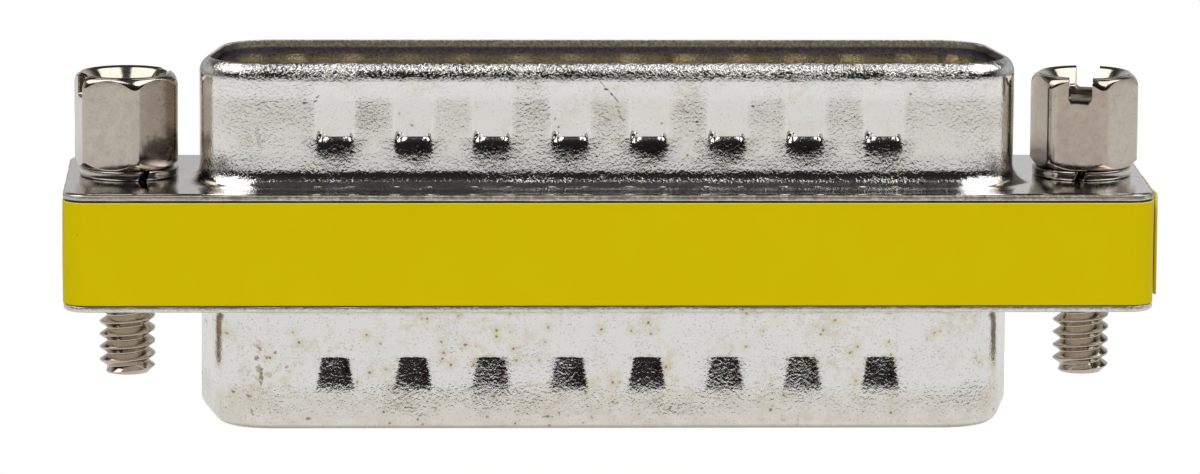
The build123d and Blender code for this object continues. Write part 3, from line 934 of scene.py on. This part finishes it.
def shell_material(name, dirty, marks):
    t = Tree(name)
    peel, raw, yellow_film_and_shade, deposit_and_dent_shade = t.attr("peel"), t.attr("raw"), t.attr("yellow_film_and_shade"), t.attr("deposit_and_dent_shade")
    x, y, z = t.xyz()
    patch = t.ramp(t.noise(0.35, 2.0), 0.35, 0.68, 0.60, 1.30)
    amount = t.m("MULTIPLY", peel, patch)
    wiggle = t.noise(7.2, 2.0, 0.55, 0.4)
    cells = t.voronoi(5.0, "SMOOTH_F1")
    height = t.m("ADD", wiggle, t.m("MULTIPLY", cells, 0.20))
    n1 = t.bump(height, 2.9e-5, amount)
    grain = t.noise(17.0, 2.0, 0.6)
    n2 = t.bump(grain, 2.0e-6, 1.0, n1)
    # pits, each in a faint yellowish halo
    flat = t.nt.nodes.new("ShaderNodeCombineXYZ")
    t.link(t.m("ADD", x, t.m("MULTIPLY", y, 0.31)), flat.inputs[0])
    t.link(z, flat.inputs[1])
    ragged = t.m("SUBTRACT", t.noise(8.5, 3.0, 0.7), 0.5)
    near = t.m("ADD", t.voronoi(0.95, vec=flat.outputs[0], flat=True), t.m("MULTIPLY", ragged, 0.20))
    gate = t.ramp(t.noise(0.50, 2.0), 0.47, 0.60) if dirty else t.ramp(t.noise(0.45, 2.0), 0.56, 0.64)
    pits = t.m("MULTIPLY", t.ramp(near, 0.02, 0.09, 1.0, 0.0), gate)
    halo = t.m("MULTIPLY", t.ramp(near, 0.04, 0.44, 1.0, 0.0), gate)
    near2 = t.m("ADD", t.voronoi(2.5, vec=flat.outputs[0], flat=True), t.m("MULTIPLY", ragged, 0.28))
    dots = t.m("MULTIPLY", t.ramp(near2, 0.03, 0.12, 1.0, 0.0), t.ramp(t.noise(0.8, 2.0), 0.46, 0.60))
    stain = t.m("MULTIPLY", t.ramp(t.noise(0.55, 4.0, 0.6), 0.48 if dirty else 0.52, 0.68 if dirty else 0.72), t.ramp(t.noise(2.2, 3.0, 0.65), 0.38, 0.62))
    freckle = t.m("MULTIPLY", t.ramp(t.noise(7.5, 2.0, 0.6), 0.53, 0.70), t.ramp(t.noise(0.9, 3.0), 0.30, 0.60))
    clean = (0.905, 0.895, 0.878)
    if not dirty:
        # painted shade: orange peel is given a greyer colour than the smooth sheet, standing in for the micro-shadowing
        # of its bumps
        clean = t.mix(t.ramp(peel, 0.20, 0.56, 0.0, 0.50), clean, (0.70, 0.68, 0.64))
    col = t.mix(t.m("MULTIPLY", stain, 0.55 if dirty else 0.40), clean, (0.72, 0.65, 0.46))
    col = t.mix(t.m("MULTIPLY", halo, 0.55 if dirty else 0.25), col, (0.74, 0.67, 0.46))
    # yellowish film; towards the lower shell's mouth it is partly painted shade
    col = t.mix(t.m("MULTIPLY", yellow_film_and_shade, t.ramp(t.noise(1.1, 4.0, 0.6), 0.30, 0.66, 0.30, 0.95)), col, (0.78, 0.735, 0.64))
    col = t.mix(t.m("MULTIPLY", freckle, 0.50 if dirty else 0.22), col, (0.46, 0.42, 0.36))
    col = t.mix(t.m("MULTIPLY", dots, 0.55 if dirty else 0.30), col, (0.34, 0.28, 0.20))
    col = t.mix(t.m("MULTIPLY", pits, 0.85), col, (0.20, 0.15, 0.09))
    # dark brown deposit; below each upper dent it is partly painted shade
    col = t.mix(t.m("MULTIPLY", deposit_and_dent_shade, t.ramp(t.noise(3.6, 3.0, 0.6), 0.36, 0.60, 0.25, 0.85)), col, (0.26, 0.135, 0.10))
    # single scratches and smears; the tall dark streaks at the corners of the D and at the right end are painted
    # reflections
    frayed = t.m("MULTIPLY", ragged, 5.5)
    facing = t.ramp(y, -3.0, -2.0, 1.0, 0.0)
    for mx, mz, rx, rz, turn, strength, tone in marks:
        c, q = math.cos(math.radians(turn)), math.sin(math.radians(turn))
        dx, dz = t.m("SUBTRACT", x, mx), t.m("SUBTRACT", z, mz)
        a = t.m("ADD", t.m("MULTIPLY", dx, c / rx), t.m("MULTIPLY", dz, q / rx))
        b = t.m("ADD", t.m("MULTIPLY", dx, -q / rz), t.m("MULTIPLY", dz, c / rz))
        d = t.m("ADD", t.m("MULTIPLY", a, a), t.m("MULTIPLY", b, b))
        m = t.ramp(t.m("ADD", d, frayed), 0.35, 1.35, strength, 0.0)
        col = t.mix(t.m("MULTIPLY", m, facing), col, tone)
    # painted reflection: navy band on the inside wall, standing in for the reflected blue insulator
    col = t.mix(t.m("MULTIPLY", t.attr("deep"), 0.75), col, (0.30, 0.38, 0.62))
    col = t.mix(t.m("MULTIPLY", raw, 0.80), col, t.mix(t.ramp(t.noise(6.0, 3.0, 0.65), 0.36, 0.64), (0.52, 0.44, 0.35), (0.95, 0.88, 0.78)))
    if dirty:
        # dirt gathers along the flange and along the cut mouth
        reach = t.m("ABSOLUTE", z)
        line = t.m("MULTIPLY", t.ramp(reach, 2.83, 2.88), t.ramp(reach, 2.93, 2.99, 1.0, 0.0))
        lip = t.ramp(reach, 8.74, 8.92)
        both = t.m("ADD", t.m("MULTIPLY", line, t.ramp(t.noise(1.6, 3.0), 0.35, 0.6, 0.2, 0.7)), t.m("MULTIPLY", lip, 0.62))
        col = t.mix(both, col, (0.30, 0.24, 0.18))
    if not dirty:
        # grime on the edge of the flange
        grime = t.m("MULTIPLY", t.ramp(z, 2.62, 2.67), t.ramp(z, 2.83, 2.90, 1.0, 0.0))
        grime = t.m("MULTIPLY", grime, t.ramp(x, -21.5, -19.5))
        col = t.mix(t.m("MULTIPLY", grime, t.ramp(t.noise(2.4, 3.0, 0.6), 0.34, 0.64, 0.15, 0.85)), col, (0.30, 0.26, 0.21))
        # painted shade: the left end of the collar is darkened, standing in for the shade and dark reflection from the
        # left jackscrew beside it
        col = t.mix(t.ramp(x, -19.9, -19.2, 0.38, 0.0), col, (0.44, 0.38, 0.32))
    rough = t.m("ADD", t.m("MULTIPLY", raw, 0.58), t.ramp(t.noise(1.6, 3.0), 0.3, 0.75, 0.065, 0.13))
    return t.done(col, rough, 1.0, n2)


def nickel_material(name, tint, rough0, seed_scale):
    t = Tree(name)
    x, y, z = t.xyz()
    n1 = t.bump(t.noise(1.4 * seed_scale, 3.0, 0.55), 6.0e-6, 0.8)
    n2 = t.bump(t.noise(11.0, 3.0, 0.65), 1.5e-6, 1.0, n1)
    vor = t.voronoi(1.9)
    gate = t.ramp(t.noise(1.3, 2.0), 0.50, 0.60)
    pits = t.m("MULTIPLY", t.ramp(vor, 0.05, 0.10, 1.0, 0.0), gate)
    brass = t.m("MULTIPLY", t.ramp(t.noise(1.1, 4.0, 0.65), 0.58, 0.76), t.ramp(t.noise(5.0, 3.0), 0.42, 0.6))
    col = t.mix(t.m("MULTIPLY", brass, 0.55), tint, (0.50, 0.41, 0.27))
    col = t.mix(t.ramp(t.noise(2.6, 4.0, 0.6), 0.45, 0.8, 0.0, 0.40), col, (0.42, 0.36, 0.30))
    col = t.mix(t.ramp(t.noise(8.0, 3.0, 0.6), 0.50, 0.72, 0.0, 0.22), col, (0.36, 0.31, 0.27))
    col = t.mix(t.m("MULTIPLY", pits, 0.8), col, (0.10, 0.08, 0.06))
    col = t.mix(t.ramp(z, -4.2, -3.0, 0.26, 0.0), col, (0.34, 0.27, 0.20))
    col = t.mix(t.ramp(z, 2.5, 3.6, 0.0, 0.30), col, (0.27, 0.24, 0.21))
    near = t.ramp(y, -1.6, -1.2, 1.0, 0.0)
    warm = t.m("MULTIPLY", t.ramp(x, 21.9, 22.1), t.ramp(x, 24.35, 24.6, 1.0, 0.0))
    warm = t.m("MULTIPLY", t.m("MULTIPLY", warm, near), t.ramp(t.noise(1.3, 4.0, 0.6), 0.25, 0.6, 0.55, 1.0))
    col = t.mix(t.m("MULTIPLY", warm, 0.42), col, (0.40, 0.32, 0.235))
    # painted reflection: dark patch low on the right face of the left jackscrew, standing in for its reflection of the
    # dark shell base and gap
    low = t.m("ADD", z, t.m("MULTIPLY", t.m("SUBTRACT", t.noise(1.8, 4.0, 0.65), 0.5), 1.6))
    dark_reflection_left_hex = t.m("MULTIPLY", t.ramp(x, -22.75, -22.55), t.ramp(x, -20.9, -20.8, 1.0, 0.0))
    dark_reflection_left_hex = t.m("MULTIPLY", dark_reflection_left_hex, t.m("MULTIPLY", t.ramp(low, 4.0, 4.25), t.ramp(low, 4.75, 5.15, 1.0, 0.0)))
    col = t.mix(t.m("MULTIPLY", dark_reflection_left_hex, 0.72), col, (0.14, 0.11, 0.10))
    # painted reflection: the same dark patch low on the left face of the right jackscrew
    dark_reflection_right_hex = t.m("MULTIPLY", t.ramp(x, 20.8, 20.9), t.ramp(x, 21.85, 21.95, 1.0, 0.0))
    dark_reflection_right_hex = t.m("MULTIPLY", dark_reflection_right_hex, t.ramp(z, 4.0, 5.0, 1.0, 0.0))
    col = t.mix(t.m("MULTIPLY", dark_reflection_right_hex, 0.60), col, (0.16, 0.14, 0.13))
    # sawn floor of the slot, rough; its dark colour is painted shade, standing in for the dark reflection the floor
    # shows
    up = t.nt.nodes.new("ShaderNodeSeparateXYZ")
    t.link(t.nt.nodes.new("ShaderNodeTexCoord").outputs["Normal"], up.inputs[0])
    floor = t.m("MULTIPLY", t.ramp(up.outputs[2], 0.55, 0.85), t.m("MULTIPLY", t.ramp(z, 6.70, 6.80), t.ramp(z, 7.00, 7.10, 1.0, 0.0)))
    col = t.mix(t.m("MULTIPLY", floor, t.ramp(t.noise(5.0, 3.0), 0.35, 0.6, 0.60, 0.92)), col, (0.16, 0.13, 0.11))
    # painted shade: the inside of the threaded socket is darkened, standing in for the shade deep in the bore
    off = t.m("SUBTRACT", t.m("ABSOLUTE", x), 23.52)
    radius = t.m("SQRT", t.m("ADD", t.m("MULTIPLY", off, off), t.m("MULTIPLY", y, y)))
    bore = t.m("MULTIPLY", t.ramp(radius, 1.45, 1.52, 1.0, 0.0), t.m("MULTIPLY", t.ramp(z, 4.0, 4.2), t.ramp(z, 6.85, 7.15, 1.0, 0.0)))
    col = t.mix(t.m("MULTIPLY", bore, 0.85), col, (0.13, 0.105, 0.085))
    rough = t.ramp(t.noise(2.0, 3.0), 0.3, 0.7, rough0, rough0 + 0.08)
    rough = t.m("ADD", rough, t.m("MULTIPLY", t.m("MAXIMUM", floor, bore), 0.30))
    return t.done(col, rough, 1.0, n2)


def label_material():
    t = Tree("label_film_yellow")
    edge = t.attr("edge")
    x, y, z = t.xyz()
    mott = t.ramp(t.noise(0.30, 3.0, 0.5), 0.3, 0.72)
    col = t.mix(mott, (0.640, 0.500, 0.0), (0.655, 0.515, 0.0))
    vor = t.voronoi(0.8)
    speck = t.m("MULTIPLY", t.ramp(vor, 0.02, 0.05, 1.0, 0.0), t.ramp(t.noise(0.7, 2.0), 0.55, 0.62))
    col = t.mix(t.m("MULTIPLY", speck, 0.6), col, (0.25, 0.16, 0.02))
    # painted highlight: the top edge of the film is made paler, as if lit from above
    top = t.ramp(z, 1.5, 2.3)
    col = t.mix(t.m("MULTIPLY", t.m("MULTIPLY", edge, top), 0.75), col, (0.82, 0.76, 0.32))
    # painted shade: the bottom edge of the film is made darker
    low = t.m("MULTIPLY", t.m("MULTIPLY", edge, t.ramp(z, -2.3, -1.5, 1.0, 0.0)), 0.25)
    col = t.mix(low, col, (0.42, 0.33, 0.02))
    n1 = t.bump(t.noise(2.2, 3.0, 0.5), 2.5e-6, 0.7)
    n2 = t.bump(t.noise(22.0, 2.0, 0.5), 0.35e-6, 1.0, n1)
    rough = t.ramp(t.noise(1.2, 3.0), 0.3, 0.7, 0.30, 0.42)
    return t.done(col, rough, None, n2, Specular_IOR_Level=0.03)


def gold_material():
    t = Tree("contact_gold_plate")
    n1 = t.bump(t.noise(4.0, 3.0), 6.0e-6, 0.8)
    n2 = t.bump(t.noise(18.0, 2.0), 0.8e-6, 1.0, n1)
    tarn = t.ramp(t.noise(2.4, 4.0, 0.6), 0.42, 0.72)
    col = t.mix(tarn, (1.0, 0.82, 0.47), (0.92, 0.67, 0.33))
    rough = t.ramp(t.noise(3.0, 3.0), 0.3, 0.7, 0.42, 0.55)
    return t.done(col, rough, 1.0, n2)


def plastic_material():
    t = Tree("insulator_blue_plastic")
    col = t.mix(t.ramp(t.noise(0.8, 4.0, 0.6), 0.35, 0.7), (0.002, 0.012, 0.075), (0.003, 0.018, 0.11))
    dust = t.m("MULTIPLY", t.ramp(t.noise(2.6, 4.0, 0.7), 0.58, 0.75), 0.12)
    col = t.mix(dust, col, (0.22, 0.25, 0.32))
    n1 = t.bump(t.noise(2.0, 3.0), 8.0e-6, 0.6)
    n2 = t.bump(t.noise(14.0, 3.0), 1.5e-6, 1.0, n1)
    rough = t.ramp(t.noise(1.7, 3.0), 0.3, 0.7, 0.32, 0.50)
    return t.done(col, rough, None, n2)


# ------------------------------------------------------------------ the parts
BROWN, DARK, GREY = (0.50, 0.42, 0.33), (0.10, 0.08, 0.07), (0.55, 0.52, 0.50)
UPPER_MARKS = [
    (-14.78, 7.13, 0.10, 0.05, 0, 0.9, DARK),
    (-14.25, 7.21, 0.10, 0.045, 20, 0.9, DARK),
    (-14.14, 7.42, 0.11, 0.045, 40, 0.9, DARK),
    (-0.23, 7.92, 0.46, 0.040, -48, 0.8, BROWN),
    (-0.18, 7.82, 0.10, 0.06, -20, 0.9, DARK),
    (0.07, 7.56, 0.10, 0.05, -50, 0.9, DARK),
    (0.30, 7.32, 0.20, 0.040, -50, 0.8, (0.32, 0.26, 0.19)),
    (0.40, 6.78, 0.28, 0.05, -62, 0.7, (0.40, 0.34, 0.25)),
    (0.58, 6.38, 0.18, 0.06, -45, 0.8, (0.34, 0.28, 0.20)),
    (-0.12, 6.28, 0.24, 0.09, 12, 0.6, (0.42, 0.36, 0.27)),
    (-0.36, 6.62, 0.10, 0.07, 40, 0.6, (0.42, 0.36, 0.27)),
    (0.12, 6.95, 0.12, 0.05, -60, 0.6, (0.42, 0.36, 0.27)),
    (0.08, 6.62, 0.70, 0.50, 0, 0.28, (0.64, 0.58, 0.45)),
    # painted reflection: tall brown streak at the left corner of the D
    (-17.0, 5.40, 0.13, 0.50, 12, 0.55, BROWN),
    (-11.9, 6.30, 0.55, 0.60, 0, 0.32, (0.62, 0.58, 0.46)),
    (3.55, 6.85, 0.16, 0.36, 35, 0.55, BROWN),
    (4.25, 6.20, 0.09, 0.06, 0, 0.9, DARK),
    (6.95, 6.98, 0.08, 0.06, 0, 0.9, DARK),
    # painted reflection: tall brown streak at the right end, standing in for the dark surroundings seen there
    (19.6, 6.0, 0.20, 1.8, 0, 0.5, BROWN),
]
LOWER_MARKS = [
    # painted reflection: the marks near x = -17 make up the thin dark streak in the left corner of the D
    (-17.0, -5.95, 0.15, 0.20, 0, 0.9, BROWN),
    (-16.9, -6.35, 0.10, 0.42, 0, 0.85, (0.30, 0.22, 0.14)),
    (-17.1, -5.45, 0.14, 0.10, 30, 0.85, (0.30, 0.22, 0.14)),
    (-17.05, -4.85, 0.28, 0.10, -20, 0.5, BROWN),
    (-16.98, -4.98, 0.12, 0.07, -35, 0.85, (0.30, 0.22, 0.14)),
    (-17.5, -7.35, 0.16, 0.07, -20, 0.85, (0.34, 0.27, 0.18)),
    (-17.35, -8.15, 0.07, 0.18, 25, 0.7, (0.34, 0.27, 0.18)),
    (-16.2, -5.15, 0.09, 0.08, 0, 0.85, (0.34, 0.27, 0.18)),
    (-15.65, -5.85, 0.11, 0.09, 0, 0.7, (0.40, 0.33, 0.22)),
    (-16.55, -6.25, 0.20, 0.14, 0, 0.5, (0.50, 0.44, 0.32)),
    (-14.6, -8.42, 0.16, 0.09, 0, 0.85, (0.30, 0.24, 0.17)),
    (-3.0, -8.35, 0.34, 0.05, 0, 0.8, (0.34, 0.28, 0.22)),
    (-15.4, -4.15, 0.30, 0.22, 0, 0.28, (0.72, 0.66, 0.46)),
    (-15.38, -4.16, 0.08, 0.06, 0, 0.8, (0.46, 0.40, 0.24)),
]
SHELL_UP = shell_material("shell_plating_upper", False, UPPER_MARKS)
SHELL_LO = shell_material("shell_plating_lower", True, LOWER_MARKS)
NICKEL = nickel_material("jackscrew_nickel_plate", (0.72, 0.645, 0.56), 0.085, 1.0)
WASHER = nickel_material("washer_nickel_plate", (0.66, 0.63, 0.58), 0.10, 1.7)
LABEL = label_material()
GOLD = gold_material()
BLUE = plastic_material()


def finish_piece(ob, body, node, mat):
    ob.data.materials.clear()
    ob.data.materials.append(mat)
    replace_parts(ob, *node) if isinstance(node, (list, tuple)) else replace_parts(ob, node)
    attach(ob, body)


finish_piece(make_shell("shell_upper_drawn", False, 101), "body", "upper_shell", SHELL_UP)
finish_piece(make_shell("shell_lower_drawn", True, 211), "body", "lower_shell", SHELL_LO)
finish_piece(make_label(), "body", "label_band", LABEL)
for side in ("left", "right"):
    finish_piece(make_jackscrew(side), "screw_" + side, "jackscrew_" + side, NICKEL)
    finish_piece(make_washer(side), "washer_" + side, "lock_washer_" + side, WASHER)
number = 0
for xs, turn in (([2.77 * (6 - k) for k in range(13)], 0), ([2.77 * (5.5 - k) for k in range(12)], 180)):
    for x in xs:
        number += 1
        finish_piece(make_pin(number, x, turn), "body", "contact_%02d" % number, GOLD)
for node in ("upper_insulator", "lower_insulator"):
    ob = frame["nodes"][node]
    ob.data.materials.clear()
    ob.data.materials.append(BLUE)


# ------------------------------------------------------------------ surroundings
def world():
    w = bpy.data.worlds.new("studio")
    scene.world = w
    w.use_nodes = True
    nt = w.node_tree
    nt.nodes.clear()
    out = nt.nodes.new("ShaderNodeOutputWorld")
    bg = nt.nodes.new("ShaderNodeBackground")
    white = nt.nodes.new("ShaderNodeBackground")
    white.inputs[0].default_value = (1, 1, 1, 1)
    white.inputs[1].default_value = 1.0
    mixer = nt.nodes.new("ShaderNodeMixShader")
    lp = nt.nodes.new("ShaderNodeLightPath")
    nt.links.new(lp.outputs["Is Camera Ray"], mixer.inputs[0])
    nt.links.new(bg.outputs[0], mixer.inputs[1])
    nt.links.new(white.outputs[0], mixer.inputs[2])
    nt.links.new(mixer.outputs[0], out.inputs[0])
    tc = nt.nodes.new("ShaderNodeTexCoord")
    sep = nt.nodes.new("ShaderNodeSeparateXYZ")
    nt.links.new(tc.outputs["Generated"], sep.inputs[0])

    def m(op, a, b=0.0):
        n = nt.nodes.new("ShaderNodeMath")
        n.operation = op
        for s, v in zip(n.inputs, (a, b)):
            if isinstance(v, bpy.types.NodeSocket):
                nt.links.new(v, s)
            else:
                s.default_value = v
        return n.outputs[0]

    def ramp(v, lo, hi, a, b):
        n = nt.nodes.new("ShaderNodeMapRange")
        n.interpolation_type = "SMOOTHSTEP"
        nt.links.new(v, n.inputs["Value"])
        for k, q in (("From Min", lo), ("From Max", hi), ("To Min", a), ("To Max", b)):
            n.inputs[k].default_value = q
        return n.outputs["Result"]

    elev = m("DEGREES", m("ARCSINE", sep.outputs[2]))
    flat_len = m("SQRT", m("ADD", m("MULTIPLY", sep.outputs[0], sep.outputs[0]), m("MULTIPLY", sep.outputs[1], sep.outputs[1])))
    back = m("DIVIDE", sep.outputs[1], m("ADD", flat_len, 0.0001))
    # two soft boxes overhead, left and right, with a dark gap between them
    up_z = m("MAXIMUM", sep.outputs[2], 0.02)
    gx = m("ABSOLUTE", m("DIVIDE", sep.outputs[0], up_z))
    gy = m("DIVIDE", sep.outputs[1], up_z)
    box = m("MULTIPLY", ramp(gx, 0.155, 0.225, 0.0, 1.0), ramp(gx, 1.55, 1.80, 1.0, 0.0))
    front_edge = m("ADD", gy, ramp(gx, 0.18, 0.60, 0.0, 0.38))
    box = m("MULTIPLY", box, ramp(front_edge, -0.66, -0.56, 0.0, 1.0))
    box = m("MULTIPLY", box, ramp(gy, 0.40, 0.54, 1.0, 0.0))
    frame_l = m("MULTIPLY", ramp(gx, 0.20, 0.26, 1.0, 0.0), ramp(gy, -0.66, -0.60, 0.0, 1.0))
    frame_l = m("MULTIPLY", frame_l, ramp(gy, -0.61, -0.55, 0.09, 0.0))
    box = m("MULTIPLY", box, ramp(sep.outputs[2], 0.1, 0.2, 0.0, 1.0))
    # a dark room in front, a pale backdrop low down behind and beside
    front_l = ramp(elev, 20, 75, 0.018, 0.050)
    back_l = ramp(elev, 14, 34, 0.54, 0.045)
    mask = ramp(back, -0.25, 0.45, 0.0, 1.0)
    room = m("ADD", m("MULTIPLY", front_l, m("SUBTRACT", 1.0, mask)), m("MULTIPLY", back_l, mask))
    level = m("ADD", room, m("MULTIPLY", m("MAXIMUM", box, frame_l), 1.9))
    nt.links.new(level, bg.inputs[1])
    bg.inputs[0].default_value = (1.0, 0.995, 0.985, 1)


def floor():
    me = bpy.data.meshes.new("floor")
    s = 1.6
    me.from_pydata([(-s, -s, -0.00901), (s, -s, -0.00901), (s, s, -0.00901), (-s, s, -0.00901)], [], [(0, 1, 2, 3)])
    ob = bpy.data.objects.new("floor", me)
    scene.collection.objects.link(ob)
    mat = bpy.data.materials.new("floor_pale")
    mat.use_nodes = True
    nt = mat.node_tree
    nt.nodes.clear()
    out = nt.nodes.new("ShaderNodeOutputMaterial")
    em = nt.nodes.new("ShaderNodeEmission")
    cam = nt.nodes.new("ShaderNodeEmission")
    cam.inputs[1].default_value = 1.0
    mixer = nt.nodes.new("ShaderNodeMixShader")
    lp = nt.nodes.new("ShaderNodeLightPath")
    nt.links.new(lp.outputs["Is Camera Ray"], mixer.inputs[0])
    nt.links.new(em.outputs[0], mixer.inputs[1])
    nt.links.new(cam.outputs[0], mixer.inputs[2])
    nt.links.new(mixer.outputs[0], out.inputs[0])
    tc = nt.nodes.new("ShaderNodeTexCoord")
    ln = nt.nodes.new("ShaderNodeVectorMath")
    ln.operation = "LENGTH"
    nt.links.new(tc.outputs["Object"], ln.inputs[0])
    # brightness falls off with distance from the object
    n0 = nt.nodes.new("ShaderNodeMath")
    n0.operation = "POWER"
    nt.links.new(ln.outputs["Value"], n0.inputs[0])
    n0.inputs[1].default_value = 3.0
    n1 = nt.nodes.new("ShaderNodeMath")
    n1.operation = "MULTIPLY"
    nt.links.new(n0.outputs[0], n1.inputs[0])
    n1.inputs[1].default_value = -1 / 0.26**3
    n2 = nt.nodes.new("ShaderNodeMath")
    n2.operation = "EXPONENT"
    nt.links.new(n1.outputs[0], n2.inputs[0])
    n3 = nt.nodes.new("ShaderNodeMath")
    n3.operation = "MULTIPLY_ADD"
    nt.links.new(n2.outputs[0], n3.inputs[0])
    n3.inputs[1].default_value = 0.69
    n3.inputs[2].default_value = 0.06
    last = n3.outputs[0]
    for lo, hi, b0 in ((0.086, 0.108, 1.20),):
        mr = nt.nodes.new("ShaderNodeMapRange")
        mr.interpolation_type = "SMOOTHSTEP"
        nt.links.new(ln.outputs["Value"], mr.inputs["Value"])
        for key, q in (("From Min", lo), ("From Max", hi), ("To Min", 1.0), ("To Max", b0)):
            mr.inputs[key].default_value = q
        mu = nt.nodes.new("ShaderNodeMath")
        mu.operation = "MULTIPLY"
        nt.links.new(last, mu.inputs[0])
        nt.links.new(mr.outputs["Result"], mu.inputs[1])
        last = mu.outputs[0]
    nt.links.new(last, em.inputs[1])
    em.inputs[0].default_value = (1.0, 0.992, 0.978, 1)
    ob.data.materials.append(mat)


def lamp(name, loc, target, size, power, glossy):
    d = bpy.data.lights.new(name, "AREA")
    d.shape = "RECTANGLE"
    d.size, d.size_y = size
    d.energy = power
    o = bpy.data.objects.new(name, d)
    scene.collection.objects.link(o)
    o.location = loc
    o.rotation_mode = "QUATERNION"
    o.rotation_quaternion = (Vector(target) - Vector(loc)).to_track_quat("-Z", "Y")
    o.visible_glossy = glossy
    o.visible_camera = False
    return o


world()
floor()
lamp("front_soft", (0.0, -0.75, 0.32), (0, 0, 0), (0.9, 0.5), 3.3, False)

# ------------------------------------------------------------------ camera
cam_data = bpy.data.cameras.new("camera")
cam = bpy.data.objects.new("camera", cam_data)
scene.collection.objects.link(cam)
right = Vector((0.99936378, -0.03523523, 0.00552347))
up = Vector((0.00045475, 0.16744433, 0.98588143))
back = -Vector((0.03566263, 0.98525168, -0.16735382))
rot = Matrix((right, up, back)).transposed()
cam.rotation_mode = "QUATERNION"
cam.rotation_quaternion = rot.to_quaternion()
cam.location = Vector((-0.013124, -0.355034, 0.060079))
cam_data.sensor_fit = "HORIZONTAL"
cam_data.sensor_width = 36.0
cam_data.lens = 7321.4 / 1200 * 36.0
cam_data.clip_start = 0.01
cam_data.clip_end = 10.0
scene.camera = cam
